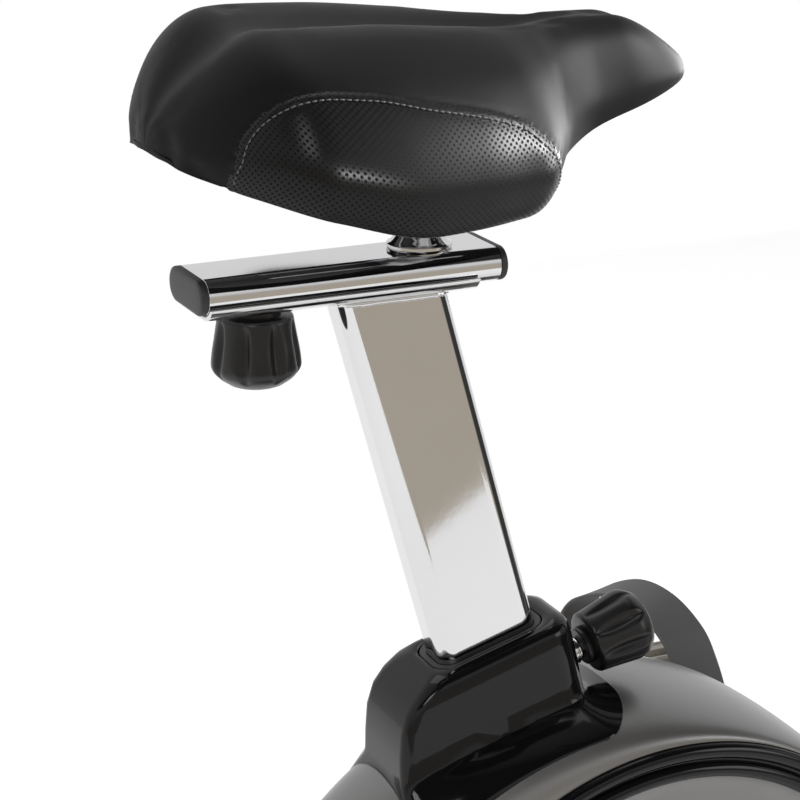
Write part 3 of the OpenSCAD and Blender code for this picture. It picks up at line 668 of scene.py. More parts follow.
def map_panel(ob):
    """Gives the panel's faces their material and a map in millimetres."""
    me = ob.data
    uv = me.uv_layers.new(name="panel_mm")
    me.uv_layers.active = uv
    co = np.array([tuple(v.co) for v in me.vertices])
    local = (co - np.array(SEAT_O)) / MM
    # arc length down the section and along the saddle, from a line through the panel
    down = np.concatenate([np.zeros((len(gx), 1)),
                           np.cumsum(np.linalg.norm(np.diff(HALF, axis=1), axis=-1), axis=1)], axis=1)
    ref = np.argmin(np.abs(gv - 4.2))
    along = np.concatenate([[0], np.cumsum(np.linalg.norm(np.diff(HALF[:, ref], axis=0), axis=-1))])
    down = down - down[:, ref:ref + 1]
    tree = kdtree.KDTree(HALF.shape[0] * HALF.shape[1])
    for i, p in enumerate(HALF.reshape(-1, 3)):
        tree.insert(p, i)
    tree.balance()
    place = np.zeros((len(local), 2))
    inside = np.zeros(len(local))
    for i, p in enumerate(local):
        a, b = divmod(tree.find((p[0], abs(p[1]), p[2]))[1], HALF.shape[1])
        place[i] = along[a], down[a, b]
        inside[i] = INSIDE[a, b]
    for poly in me.polygons:
        if np.mean([inside[k] for k in poly.vertices]) > 0:
            poly.material_index = 1
    for loop in me.loops:
        uv.data[loop.index].uv = place[loop.vertex_index]


map_panel(cover)


def stitches():
    """Raised thread stitches a little inside the panel's edge, on both sides."""
    ex = np.linspace(PANEL_X0 + 0.6, PANEL_X1 - 1.0, 400)
    ev = pchip(PANEL_EDGE, ex)
    ey, ez = saddle_point(ex, ev)
    edge = np.stack([ex, ey, ez], axis=-1)
    # where the grid's lines cross the wanted distance from the edge
    pts = []
    for di, dj in ((0, 1), (1, 0)):
        cells = [(i, j) for i in range(HALF.shape[0] - di) for j in range(HALF.shape[1] - dj)]
        if di:
            cells.sort(key=lambda c: (c[1], c[0]))
        for i, j in cells:
            a, b = INSIDE[i, j] - STITCH_IN, INSIDE[i + di, j + dj] - STITCH_IN
            if a * b < 0 and abs(a) < 4 and abs(b) < 4 and gv[j] < 5:
                t = a / (a - b)
                pts.append(HALF[i, j] * (1 - t) + HALF[i + di, j + dj] * t)
    pts = np.array(pts)
    # order the points along the edge by their nearest place on it
    order = [np.argmin(((edge - p) ** 2).sum(axis=1)) for p in pts]
    pts = pts[np.argsort(order, kind="stable")]
    line = [pts[0]]
    for p in pts[1:]:
        if np.linalg.norm(p - line[-1]) > 1.2:
            line.append(p)
    line = np.array(line)
    for _ in range(3):
        line[1:-1] = (line[:-2] + 2 * line[1:-1] + line[2:]) / 4
    length = np.concatenate([[0], np.cumsum(np.linalg.norm(np.diff(line, axis=0), axis=-1))])
    parts = []
    at = lambda s: np.array([np.interp(s, length, line[:, k]) for k in range(3)])
    s = 1.5
    while s + STITCH_L < length[-1]:
        a, b = at(s), at(s + STITCH_L)
        mid = (a + b) / 2
        out = np.array([0.0, mid[1], mid[2] - MIDDLE_Z])
        out = out / np.linalg.norm(out)
        pa, pb = a + out * 0.1, b + out * 0.1
        pm = mid + out * 0.55
        for side in (1, -1):
            path = [seat(q[0], side * q[1], q[2]) for q in (pa, (pa + pm) / 2 + out * 0.12, pm,
                                                             (pb + pm) / 2 + out * 0.12, pb)]
            parts.append(pipe(path, [0.16, 0.38, 0.42, 0.38, 0.16], sides=6))
        s += STITCH_L + 0.7
    return join(*parts)


STITCH_IN = 5.0
STITCH_L = 2.6
MIDDLE_Z = 75.0
piece("saddle_stitching", stitches(), "saddle", "saddle_cover", mat=M["thread"], sharp=80)


def saddle_pan():
    """Moulded base under the cover with a turned-down rim."""
    rings = []
    for z, shrink in ((54, 6), (54, 0), (55, -1.5), (57.6, -1.5), (58, 0), (58, 6)):
        ring = []
        for k in range(72):
            a = 2 * pi * k / 72
            x = 76 + (62 - shrink) * cos(a)
            half = 66 - shrink - 18 * max(0, cos(a)) ** 2
            ring.append(seat(x, half * sin(a), z))
        rings.append(ring)
    return loft(rings)


piece("saddle_base", saddle_pan(), "saddle", "matte_black", ["saddle_pan"])

# ---- slider and post

SLIDE_W, SLIDE_H, SLIDE_L = 48.0, 18.0, 168.0


def flat_oval(w, h, steps=22):
    """Closed outline, flat above and below with half-round sides; points are (y, z) from the middle."""
    r = h / 2
    arcs = []
    for s, a0 in ((1, -90), (-1, 90)):
        turns = [radians(a0 + 180 * i / steps) for i in range(steps + 1)]
        arcs.append([(s * (w / 2 - r) + r * cos(a), r * sin(a)) for a in turns])
    return flat_between(arcs)


def slide_ring(w, h, x, dz=0.0):
    return [seat(x, y, -SLIDE_H / 2 + z + dz) for y, z in flat_oval(w, h)]


rings = [slide_ring(SLIDE_W - 5, SLIDE_H - 5, 4), slide_ring(SLIDE_W - 1, SLIDE_H - 1, 4)]
rings += [slide_ring(SLIDE_W, SLIDE_H, x) for x in (4.5, 40, 85, 130, 163.5)]
rings += [slide_ring(SLIDE_W - 1, SLIDE_H - 1, 164), slide_ring(SLIDE_W - 5, SLIDE_H - 5, 164)]
tube = piece("slider_shell", loft(rings, closed=True), "slider", "chrome_tube", ["slider_tube"])
slot_rings = [[seat(x + dx, y, z) for x, y in
               [(12 + 4.6 * cos(a), 4.6 * sin(a)) for a in np.linspace(pi / 2, 3 * pi / 2, 9)]
               + [(105 + 4.6 * cos(a), 4.6 * sin(a)) for a in np.linspace(-pi / 2, pi / 2, 9)]]
              for dx, z in ((0, -19.5), (0, -14))]
cut(tube, [cutter(loft(slot_rings))])

for name, x0, out in (("slider_cap_rear", 4.0, -1), ("slider_cap_front", SLIDE_L - 4, 1)):
    prof = [(-6, 5.2), (-5.5, 5.0), (0, 5.0), (0, -0.05), (2.6, -0.05), (3.4, 0.35), (3.85, 1.2), (4.0, 2.4),
            (4.0, 8.0)]
    rings = [slide_ring(SLIDE_W - shrink * 2, SLIDE_H - shrink * 2, x0 + out * dx) for dx, shrink in prof]
    piece(name, loft(rings), "slider", "matte_black", ["slider_end_caps"])

# channel: the lower half of a flat oval, open at the top
CHAN_W, CHAN_H, LEDGE_Z = 54.0, 24.0, -4.5


def resample(pts, n):
    """The polyline through pts with n equal steps."""
    d = [0.0]
    for a, b in zip(pts, pts[1:]):
        d.append(d[-1] + hypot(a[0] - b[0], a[1] - b[1]))
    return [tuple(float(np.interp(d[-1] * k / n, d, [p[axis] for p in pts])) for axis in (0, 1))
            for k in range(n + 1)]


def channel_ring(x, grow=0.0):
    ring = []
    for w, h, order in ((CHAN_W + grow, CHAN_H + grow, 1), (SLIDE_W + 0.6 - grow, SLIDE_H + 0.6 - grow, -1)):
        half = sorted([q for q in flat_oval(w, h, 40) if q[1] <= LEDGE_Z], key=lambda q: order * q[0])
        ring += resample([(half[0][0], LEDGE_Z)] + half + [(half[-1][0], LEDGE_Z)], 64)
    return [seat(x, y, -SLIDE_H / 2 + z) for y, z in ring]


levels = [(4.0, -1.0), (4.5, 0), (60, 0), (110, 0), (150.5, 0), (151.0, -1.0)]
chan = piece("channel_shell", loft([channel_ring(x, grow) for x, grow in levels]), "post",
             "chrome_tube", ["slider_channel"], sharp=40)
rounded(chan, 1.1, 3, 40, 40)
bore = [[seat(37 + 4.5 * cos(a), 4.5 * sin(a), z) for a in np.linspace(0, 2 * pi, 32, endpoint=False)]
        for z in (-24, -16)]
cut(chan, [cutter(loft(bore))], 40)

# post: rounded box tube, cut level under the channel, with the pin's slot in front
POST_W, POST_D, POST_R, POST_T, POST_L = 60.0, 30.0, 9.5, 2.5, 400.0


def post_ring(inset, z):
    plan = rounded_rect(POST_W - 2 * inset, POST_D - 2 * inset, POST_R - inset, 12)
    return [post(x, y, z) for x, y in plan]


def level(ring, z):
    """Slides a ring along the post until it lies at height z of the seat frame."""
    out = []
    top = SEAT_O.z + z * MM
    for p in ring:
        out.append(p + UP * ((top - p.z) / UP.z))
    return out


zs = [-POST_L + 0.6, -340, -280, -220, -160, -100, -40]
outer = [post_ring(0.5, -POST_L)] + [post_ring(0, z) for z in zs] + [level(post_ring(0, 0), -21)]
inner = [post_ring(POST_T, z) for z in (-POST_L, -300, -200, -100)] + [level(post_ring(POST_T, 0), -21)]
tube = piece("seat_post_tube", loft(outer + inner[::-1], closed=True), "post", "chrome_tube", ["seat_post"])
slot_rings = []
for x in (20, 40):
    arc = [(PIN_Z + 30 + 5.3 * cos(a), 5.3 * sin(a)) for a in np.linspace(-pi / 2, pi / 2, 9)]
    arc += [(PIN_Z - 90 - 5.3 * cos(a), -5.3 * sin(a)) for a in np.linspace(-pi / 2, pi / 2, 9)]
    slot_rings.append([post(x, y, z) for z, y in arc])
cut(tube, [cutter(loft(slot_rings))])

# weld bead where the post meets the channel
bead = level([post(x, y, 0) for x, y in rounded_rect(POST_W + 1.0, POST_D + 1.0, POST_R + 0.5, 14)], -22.0)
n = len(bead)
rings = []
for i, p in enumerate(bead):
    t = (bead[(i + 1) % n] - bead[i - 1]).normalized()
    side = Vector((0, 0, 1)).cross(t).normalized()
    r = 1.7 + 0.22 * sin(i * 1.9)
    rings.append([p + (side * cos(2 * pi * k / 10) + Vector((0, 0, 1)) * sin(2 * pi * k / 10)) * r * MM
                  for k in range(10)])
piece("post_weld", loft(rings, closed=True), "post", "chrome_tube", sharp=60)

# stub under the saddle, flared into the slider's top
STUB_X = 128.0
prof = [(3, 0.2), (16.5, 0.2), (17.2, 1.2), (17.0, 2.6), (15.2, 3.4), (14.4, 4.6), (13.0, 6.0), (11.6, 7.8),
        (10.8, 9.6), (10.5, 12), (10.5, 25.2), (9.9, 26), (3, 26)]
piece("saddle_stub_post", spin(prof, lambda a, b, h: seat(STUB_X + a, b, h), 64), "slider", "chrome_tube",
      ["saddle_stub"])

# ---- knobs


FLUTES = 8


def knob_shape(place, height, table, turn):
    """Grip with lens-shaped flutes: table gives radius against height, both from the small end."""
    r0 = table[1][0]
    prof = [(r0 * 0.55, 0.0, 0), (r0 - 2.2, 0.0, 0), (r0 - 0.8, 0.35, 0)]
    for t in np.linspace(0.045, 1.0, 34):
        prof.append((float(pchip(table, np.array([t]))[0]), t * height, t))
    rim = table[1][-1]
    prof += [(rim * 0.9, height, 1), (rim * 0.3, height, 1)]
    rings = []
    sides = FLUTES * 22
    for r, h, t in prof:
        u = min(1.0, max(0.0, (t - 0.06) / 0.84))
        lens = sin(pi * u) ** 0.55 if 0 < u < 1 else 0.0
        ring = []
        for k in range(sides):
            a = 2 * pi * k / sides
            off = ((a / (2 * pi) * FLUTES + 0.5) % 1.0 - 0.5) * 360 / FLUTES
            q = r - FLUTE_DEPTH * lens * exp(-(off / (FLUTE_HALF * (0.35 + 0.65 * lens))) ** 2)
            ring.append(place(q * cos(a + turn), q * sin(a + turn), h))
        rings.append(ring)
    return loft(rings)


FLUTE_DEPTH = 3.1
FLUTE_HALF = 8.0


def knob(name, body, nodes, place, height, table, collar, disc_r, turn):
    piece(name, knob_shape(place, height, table, turn), body, "knob_black", nodes, sharp=50)
    piece(name + "_collar", spin(collar, place, 64), body, "knob_black", nodes, sharp=40)
    r = disc_r
    disc = [(0.5, height - 0.6), (r, height - 0.6), (r, height + 0.3), (r - 0.8, height + 0.9),
            (r * 0.7, height + 1.2), (r * 0.35, height + 1.3), (0.5, height + 1.33)]
    piece(name + "_disc", spin(disc, place, 64), body, "knob_black", mat=M["knob_disc"], sharp=40)


KNOB_X = 37.0
BIG_KNOB = ([0, 0.3, 0.6, 0.74, 0.80, 0.90, 1.0], [19.0, 20.8, 22.6, 23.0, 22.4, 19.4, 14.5])
SMALL_KNOB = ([0, 0.3, 0.6, 0.74, 0.80, 0.90, 1.0], [17.5, 19.0, 20.5, 21.0, 20.7, 19.0, 16.2])
knob("slider_knob_grip", "slider_knob", ["slider_knob"],
     lambda a, b, h: seat(KNOB_X + a, b, -24.5 - h), 36, BIG_KNOB,
     [(4.2, -3.1), (11.8, -3.1), (12.8, -2.6), (13.0, -1.6), (13.0, 0.1), (4.2, 0.1)], 13.0, 0.15)
knob("height_knob_grip", "height_lock", ["height_knob"],
     lambda a, b, h: post(60.2 + h, a, PIN_Z + b), 35, SMALL_KNOB,
     [(4.1, -4.5), (10.2, -4.5), (10.9, -3.9), (11.0, -3.0), (11.0, -0.8), (10.5, -0.1), (10.5, 0.3),
      (4.1, 0.3)],
     15.0, 0.1)

# pin barrel with its turned rings
prof = [(6.1, 32.6), (7.4, 32.6)]
for z in np.arange(37.0, 51.5, 2.0):
    prof += [(7.4, z), (7.9, z + 0.2), (8.2, z + 0.5), (8.2, z + 0.8), (7.9, z + 1.1), (7.4, z + 1.3)]
prof += [(7.3, 52.4), (6.9, 52.7), (6.9, 54.2), (6.6, 54.6), (6.1, 54.6)]
piece("pin_barrel", spin(prof, lambda a, b, h: post(h, a, PIN_Z + b), 64), "frame", "chrome_tube",
      ["height_barrel"], sharp=40)

# ---- collar and shroud

SLEEVE = 4.6
rings = []
for z, grow in ((-345, 0), (-214, 0), (-213.2, 2.6), (-212.4, 3.2), (-211.2, 3.2), (-210.6, 2.2),
                (-210.5, 0.6)):
    plan = rounded_rect(POST_W + SLEEVE + grow, POST_D + SLEEVE + grow, 11 + grow / 2, 12)
    rings.append([post(x, y, z) for x, y in plan])
bore = rounded_rect(POST_W + 0.6, POST_D + 0.6, 9.8, 12)
rings += [[post(x, y, z) for x, y in bore] for z in (-211.2, -214, -345)]
collar = piece("post_collar", loft(rings, closed=True), "frame", "matte_black", ["post_sleeve"])
hole = [[post(x, 4.5 * cos(a), PIN_Z + 4.5 * sin(a)) for a in np.linspace(0, 2 * pi, 32, endpoint=False)]
        for x in (20, 45)]
cut(collar, [cutter(loft(hole))])


def shroud_plan(rear, front, half, r_rear, r_front, steps=14):
    """Plan outline at one level: x from rear to front, corners rounded; starts at the front middle."""
    arcs = []
    for x, r, a0 in ((front - r_front, r_front, 0), (rear + r_rear, r_rear, 90)):
        flat = min(half - 0.5, r)
        turns = [radians(a0 + 90 * i / steps) for i in range(steps + 1)]
        arcs.append([(x + r * cos(a), half - flat + flat * sin(a)) for a in turns])
    arcs += [[(x, -y) for x, y in reversed(arc)] for arc in reversed(arcs)]
    return flat_between(arcs)


# Levels of the shroud in the post frame, from the ring round the collar down to the skirt on the crown:
# height, rear, front, half width, rear corner, front corner
SHROUD = [
    (-214.0, -33.8, 33.9, 18.0, 10, 11),
    (-210.9, -34.2, 34.4, 18.4, 10, 11),
    (-210.3, -35.4, 36.6, 20.5, 10, 13),
    (-210.9, -38.0, 41.5, 24.0, 10, 15),
    (-213.0, -44.5, 45.2, 26.6, 9, 16),
    (-217.0, -52.5, 47.0, 27.7, 8, 17),
    (-223.0, -60.0, 47.6, 28.0, 7, 18),
    (-233.0, -66.5, 47.4, 28.0, 6.5, 18),
    (-247.0, -71.5, 46.8, 28.2, 6.5, 18),
    (-258.0, -74.5, 46.2, 28.8, 6.5, 18),
]


def shroud():
    rings = [[post(x, y, z) for x, y in shroud_plan(rear, front, half, rr, rf)]
             for z, rear, front, half, rr, rf in SHROUD]
    # skirt: rings that flare out and settle on the crown
    base = [Vector(p) for p in rings[-1]]
    foot = []
    for p in base:
        loc = (p - SEAT_O) / MM
        x, y = loc.x, loc.y
        fy = y * (1.0 + 0.82 * min(1, abs(y) / 28))
        fx = x + 18 * max(0, (x - 160) / 60) ** 1.5 + 1.0 * min(0, (x - 115) / 10)
        foot.append(Vector((fx, fy, 0)))
    for t in (0.18, 0.36, 0.54, 0.70, 0.83, 0.93, 1.0):
        ring = []
        for p, q in zip(base, foot):
            loc = (p - SEAT_O) / MM
            # quarter-round flare: drops first, then runs outwards
            out = 1 - cos(t * pi / 2)
            x = loc.x + (q.x - loc.x) * out
            y = loc.y + (q.y - loc.y) * out
            w = seat(x, y, 0)
            ground = (crown_height(w.x, w.y) - SEAT_O.z) / MM + 0.8
            z = loc.z + (ground - loc.z) * sin(t * pi / 2)
            ring.append(seat(x, y, z))
        rings.append(ring)
    last = rings[-1]
    rings.append([p + Vector((0, 0, -0.004)) for p in last])
    return loft(rings, caps=False)


piece("shroud_shell", shroud(), "frame", "gloss_black", ["seat_shroud"], sharp=60)

# ---- housing


def crown_strip():
    rows = []
    ys = [HOUSE_Y * sin(radians(a)) for a in np.linspace(-90, 90, 45)]
    angles = np.linspace(26.1, 262, 120)
    for y in ys:
        c, r = crown_circle(y)
        rows.append([Vector((c.x + r * cos(radians(a)), y, c.z + r * sin(radians(a)))) for a in angles])
    return sheet(rows)


piece("crown_shell", crown_strip(), "frame", "grey_shell", ["housing_crown"], sharp=60, recalc=False)


def circle_arc(cx, cz, r, a0, a1, n):
    return [(cx + r * cos(radians(a0 + (a1 - a0) * i / n)), cz + r * sin(radians(a0 + (a1 - a0) * i / n)))
            for i in range(n + 1)]


def front_outline(t):
    """Open outline of the housing ahead of the crown, in millimetres, from the crown down to the base."""
    pts = circle_arc(84, 425, 90 + t, 206, 352, 30)
    pts += round_corner([pts[-1], (175 + t, 446 - t, 6), (256 - t, 458 - t, 16), (300 - t, 145, 30),
                         (290 - t * 0.7, 80 + t * 0.5, 20), (256, 63 + t)], 10)[1:]
    pts += [(200, 63 + t), (120, 63 + t), (40, 63 + t), (-40, 63 + t), (-120, 63 + t), (-198, 63 + t)]
    return pts


def front_shell(side):
    rows = []
    levels = [(0.0, 0.0), (30, 0.0), (50, 0.0)] + [(50 + 10 * sin(radians(a)), 10 * (1 - cos(radians(a))))
                                                   for a in (18, 36, 54, 72, 90)]
    for y, t in levels:
        row = []
        for x, z in front_outline(t):
            yy = max(y, 31.0) if z < 112 else y
            row.append(Vector((x * MM, side * yy * MM, z * MM)))
        rows.append(row)
    n = len(rows[0])
    verts, faces = sheet(rows)
    # side plate between the rounded edge and the panel circle
    first = len(verts)
    ring = circle_arc(PANEL_C.x / MM, PANEL_C.z / MM, 166, 258, 386.1, 60)
    verts += [Vector((x * MM, side * HOUSE_Y, z * MM)) for x, z in ring]
    plate = [(len(rows) - 1) * n + k for k in range(n)] + [first + k for k in range(len(ring))]
    faces.append(tuple(plate))
    return verts, faces


def side_panel(side):
    """Recessed side panel inside the trim, softly crowned."""
    rows = []
    profile = [(0.0, 59.3), (0.35, 59.0), (0.60, 58.4), (0.78, 57.4), (0.88, 56.4), (0.93, 55.8),
               (0.96, 55.8), (0.98, 56.6), (1.0, 59.5)]
    for t, y in profile:
        row = []
        for k in range(120):
            a = 2 * pi * k / 120
            inner = CRANK + Vector((cos(a), 0, sin(a))) * 0.014
            outer = PANEL_C + Vector((cos(a), 0, sin(a))) * 0.1515
            p = inner.lerp(outer, t)
            row.append(Vector((p.x, side * y * MM, p.z)))
        rows.append(row)
    # groove floor under the trim, out to the shells
    for r in (0.1535, 0.1735):
        rows.append([PANEL_C + Vector((r * cos(2 * pi * k / 120), side * 0.0574, r * sin(2 * pi * k / 120)))
                     for k in range(120)])
    return loft(rows, caps=False)


def trim(side):
    """Two rounded beads with a valley between them, tapering out at both ends."""
    prof = [(150.5, 57.5)]
    prof += [(156 + 4.6 * cos(radians(a)), 60.6 + 4.4 * sin(radians(a))) for a in range(180, -1, -15)]
    prof += [(161.5, 60.9)]
    prof += [(167 + 4.6 * cos(radians(a)), 60.6 + 4.4 * sin(radians(a))) for a in range(180, -1, -15)]
    prof += [(172.2, 58.0)]
    rings = []
    for i in range(141):
        a = radians(24 + 190 * i / 140)
        end = min(i, 140 - i) / 8
        fade = min(1.0, end) ** 0.5
        ring = []
        for r, y in prof:
            yy = 58 + (y - 58) * (0.15 + 0.85 * fade)
            ring.append(Vector((PANEL_C.x + r * MM * cos(a), side * yy * MM, PANEL_C.z + r * MM * sin(a))))
        rings.append(ring)
    return sheet(rings)


for side, word in ((1, "left"), (-1, "right")):
    piece("front_shell_" + word, front_shell(side), "frame", "grey_shell", ["housing_" + word], sharp=40)
    piece("side_panel_" + word, side_panel(side), "frame", "grey_shell", ["housing_" + word], sharp=40)
    piece("trim_" + word, trim(side), "frame", "gloss_black", ["side_trims"], sharp=50)

# ---- pedals and straps


def ribbon(path, across, thick):
    """Flat band along a path; across gives the band's half-width vector at each point, in millimetres."""
    rings = []
    for i, q in enumerate(path):
        t = (path[min(i + 1, len(path) - 1)] - path[max(i - 1, 0)]).normalized()
        w = across(i / (len(path) - 1))
        w = w - t * w.dot(t)
        nrm = t.cross(w).normalized() * (thick / 2)
        e = w * (1 - 0.8 / w.length)
        rings.append([q - w, q - e + nrm, q + e + nrm, q + w, q + e - nrm, q - e - nrm])
    return loft(rings)


def pedal_pieces(word, side, centre):
    c = centre / MM

    def at(x, y, z):
        return Vector((c.x + x, c.y + side * y, c.z + z)) * MM

    # strap: the loop leans back towards the outer side
    path = smooth_path([(-20, 46.6, -7), (-26, 47.2, 12), (-28, 49.5, 32), (-21, 42, 55), (-8, 20, 67),
                        (2, -4, 64), (11, -24, 48), (16, -34, 28), (18, -44, 6), (18, -46.6, -7)], 10)
    half = ribbon([Vector(p) for p in path], lambda t: Vector((15, 3 - 6 * t, 2.5)), 2.4)
    verts = [at(*p) for p in half[0]]
    piece("toe_strap_" + word, (verts, half[1]), "pedal_" + word, "strap_rubber", ["pedal_strap_" + word],
          sharp=50)

    # body: side profile with rounded corners, ribbed treads, five windows each way
    prof = round_corner([(-42, 0), (-42, -4, 3), (-36, -14, 4), (36, -14, 4), (42, -4, 3), (42, 6, 2),
                         (38, 12, 3), (-38, 12, 3), (-42, 6, 2), (-42, 0)], 3, 4)[:-1]
    rings = []
    for y, shrink in ((-45, 1.2), (-44.4, 0.4), (-43.5, 0), (43.5, 0), (44.4, 0.4), (45, 1.2)):
        rings.append([at(x * (1 - shrink / 42), y, z * (1 - shrink / 14)) for x, z in prof])
    ob = piece("pedal_body_" + word, loft(rings), "pedal_" + word, "pedal_grey", ["pedal_" + word])
    windows = []
    for s in (-1, 1):
        for j in range(5):
            y0 = -36 + 15 * j
            windows.append(cutter(loft([[at(s * 26 + dx, y0 + dy, z) for dx, dy in
                                          ((-11, 0), (11, 0), (11, 10), (-11, 10))] for z in (-20, 30)])))
    cut(ob, windows)
    ribs = []
    for j in range(13):
        y = -42 + 7 * j
        if any(-37.5 + 15 * i < y < -24.5 + 15 * i for i in range(5)):
            spans = ((-38, -37.3), (-14.7, 14.7), (37.3, 38))
        else:
            spans = ((-38, 38),)
        for a, b in spans:
            rib = ((-1.2, 11.6), (1.2, 11.6), (0.7, 13.0), (-0.7, 13.0))
            ribs.append(loft([[at(x, y + dy, z) for dy, z in rib] for x in (a, b)]))
    ribs.append(loft([[at(x, -36, -30 + e), at(x, 36, -30 + e), at(x, 36, -14), at(x, -36, -14)]
                      for x, e in ((-14, 1), (-13, 0), (13, 0), (14, 1))]))
    piece("pedal_tread_" + word, join(*ribs), "pedal_" + word, "pedal_grey", ["pedal_" + word])


pedal_pieces("left", 1, hinge("pedal_left_spin"))
pedal_pieces("right", -1, hinge("pedal_right_spin"))

# ---- handlebar and console

BAR_C = hinge("handlebar_tilt")
BAR = [(0, 0, 0), (0, 34, 0), (0, 60, 0), (-8, 140, 6), (-30, 205, 18), (-100, 236, 30), (-205, 240, 42),
       (-250, 232, 70), (-272, 222, 112)]
right = [Vector(p) for p in BAR]
whole = [Vector((p.x, -p.y, p.z)) for p in reversed(right[1:])] + right
path = [BAR_C + p * MM for p in smooth_path(whole, 10)]
piece("handlebar_tube", pipe(path, 14, 32), "handlebar", "frame_paint", ["handlebar"], sharp=60)
for s, word in ((1, "left"), (-1, "right")):
    hand = smooth_path([Vector((p[0], s * p[1], p[2])) for p in BAR[4:]], 14)
    hand = [BAR_C + p * MM for p in hand][14:]
    length = len(hand)
    radii = [19 - 0.35 * (0.5 + 0.5 * cos(i * 1.1)) for i in range(length)]
    radii[0], radii[1] = 15.0, 18.2
    radii[-1], radii[-2] = 16.5, 18.6
    tip = (hand[-1] - hand[-2]).normalized()
    piece("foam_grip_" + word, pipe(hand + [hand[-1] + tip * 0.002], radii + [12.0], 32), "handlebar", "foam",
          ["handlebar_grips"], sharp=60)

# ---- camera, floor, light

CAMERA_AZ, CAMERA_EL, CAMERA_ROLL = 24.77, 17.85, -0.137
CAMERA_AT = Vector((-0.7909, -1.0573, 1.0675))
# focal length as a share of the sensor's width
FOCAL = 2.924
SENSOR = 36

az, el, roll = radians(CAMERA_AZ), radians(CAMERA_EL), radians(CAMERA_ROLL)
look = Vector((sin(az) * cos(el), cos(az) * cos(el), -sin(el)))
right_v = Vector((cos(az), -sin(az), 0))
up_v = right_v.cross(look)
r2 = right_v * cos(roll) + up_v * sin(roll)
u2 = -right_v * sin(roll) + up_v * cos(roll)
cam = bpy.data.cameras.new("camera")
cam.sensor_width = SENSOR
cam.lens = SENSOR * FOCAL
cam.clip_start = 0.05
cam.clip_end = 60
camera = bpy.data.objects.new("camera", cam)
m = Matrix((r2, u2, -look)).transposed().to_4x4()
m.translation = CAMERA_AT
camera.matrix_world = m
bpy.context.scene.collection.objects.link(camera)
bpy.context.scene.camera = camera

floor_mat = material("floor", (0.93, 0.93, 0.93), 0.85, vary=0.01, grain=(60, 0.02), spec=0.1)
glow = floor_mat.node_tree.nodes["Principled BSDF"].inputs
glow["Emission Color"].default_value = (1, 1, 1, 1)
glow["Emission Strength"].default_value = 0.50
FLOOR = [(-7, -1.3, 0), (0.28, -1.36, 0), (0.62, -1.66, 0), (1.4, -1.68, 0), (1.4, 0.2, 0), (7, 0.2, 0),
         (7, 2.6, 0), (-7, 2.6, 0)]
floor = solid("floor", FLOOR, [tuple(range(len(FLOOR)))], recalc=False)
floor.data.materials.append(floor_mat)


# Light of the surround against the height of the direction, ahead of and behind the object
FRONT_SKY = [(0.0, (0.52, 0.465, 0.385)), (0.10, (0.52, 0.49, 0.45)), (0.28, (0.80, 0.80, 0.80)),
             (0.44, (0.85, 0.85, 0.86)), (0.54, 0.03), (0.93, 0.03), (1.0, 0.35)]
BACK_SKY = [(0.0, (0.82, 0.82, 0.825)), (0.5, (0.86, 0.86, 0.87)), (0.8, 0.5), (1.0, 0.3)]


def between(nt, source, low, high):
    """0 below low to 1 above high."""
    n = node(nt, "ShaderNodeMapRange")
    n.inputs[1].default_value = low
    n.inputs[2].default_value = high
    nt.links.new(source, n.inputs[0])
    return n.outputs[0]


def blend(nt, factor, a, b):
    """Colour mix; b is a socket or a colour."""
    n = node(nt, "ShaderNodeMix", data_type="RGBA")
    nt.links.new(factor, n.inputs[0])
    nt.links.new(a, n.inputs[6])
    if hasattr(b, "__len__"):
        n.inputs[7].default_value = b
    else:
        nt.links.new(b, n.inputs[7])
    return n.outputs[2]


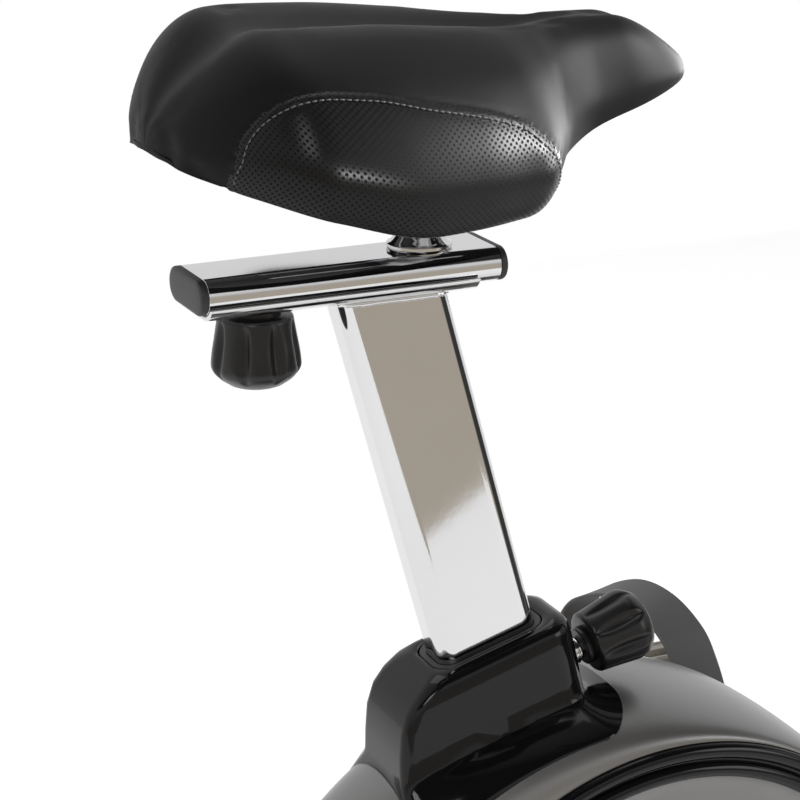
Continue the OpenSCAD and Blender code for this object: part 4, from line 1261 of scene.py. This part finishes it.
def world():
    """Studio surround: white behind the object, a dark flag high in front, beige low in front."""
    w = bpy.data.worlds.new("studio")
    bpy.context.scene.world = w
    w.use_nodes = True
    nt = w.node_tree
    bg = nt.nodes["Background"]
    tc = node(nt, "ShaderNodeTexCoord")
    sep = node(nt, "ShaderNodeSeparateXYZ")
    nt.links.new(tc.outputs["Generated"], sep.inputs[0])
    front = ramp(nt, sep.outputs["Z"], FRONT_SKY)
    back = ramp(nt, sep.outputs["Z"], BACK_SKY)
    both = blend(nt, between(nt, sep.outputs["Y"], -0.12, 0.12), front, back)
    # a dark patch low at the far right
    patch = node(nt, "ShaderNodeMath", operation="MULTIPLY")
    nt.links.new(between(nt, sep.outputs["X"], 0.76, 0.84), patch.inputs[0])
    nt.links.new(between(nt, sep.outputs["Z"], 0.02, -0.04), patch.inputs[1])
    dark = blend(nt, patch.outputs[0], both, (0.05, 0.05, 0.05, 1))
    seen = node(nt, "ShaderNodeLightPath").outputs["Is Camera Ray"]
    nt.links.new(blend(nt, seen, dark, (1, 1, 1, 1)), bg.inputs[0])
    bg.inputs[1].default_value = 1.0


world()


def lamp(name, at, target, size, power):
    """Square area light, size in metres and power in watts."""
    d = bpy.data.lights.new(name, "AREA")
    d.size = size
    d.energy = power
    o = bpy.data.objects.new(name, d)
    at = Vector(at)
    o.matrix_world = (Vector(target) - at).to_track_quat("-Z", "Y").to_matrix().to_4x4()
    o.location = at
    bpy.context.scene.collection.objects.link(o)
    return o


lamp("key", (-1.8, -1.6, 2.6), (-0.3, 0, 0.8), 1.0, 18)
lamp("fill", (1.9, -2.0, 1.4), (-0.2, 0, 0.7), 1.2, 10)
lamp("top", (-0.2, 1.2, 3.2), (-0.2, 0, 0.8), 2.2, 18)
SADDLE_ONLY = bpy.data.collections.new("saddle_only")
for name in ("saddle_cover", "saddle_stitching"):
    SADDLE_ONLY.objects.link(bpy.data.objects[name])
for glint in (
    lamp("glint_low", (0.04, -2.05, 1.04), (-0.35, 0, 0.86), 0.22, 22),
    lamp("glint_high", (1.38, -0.71, 1.79), (-0.35, 0, 0.86), 0.45, 60),
    lamp("nose_side", (1.6, 0.9, 0.9), (-0.2, 0, 0.86), 0.6, 24),
    lamp("nose_soft", (1.8, -0.3, 1.35), (-0.2, 0, 0.86), 1.5, 110),
):
    glint.light_linking.receiver_collection = SADDLE_ONLY

view = bpy.context.scene.view_settings
view.view_transform = "Standard"
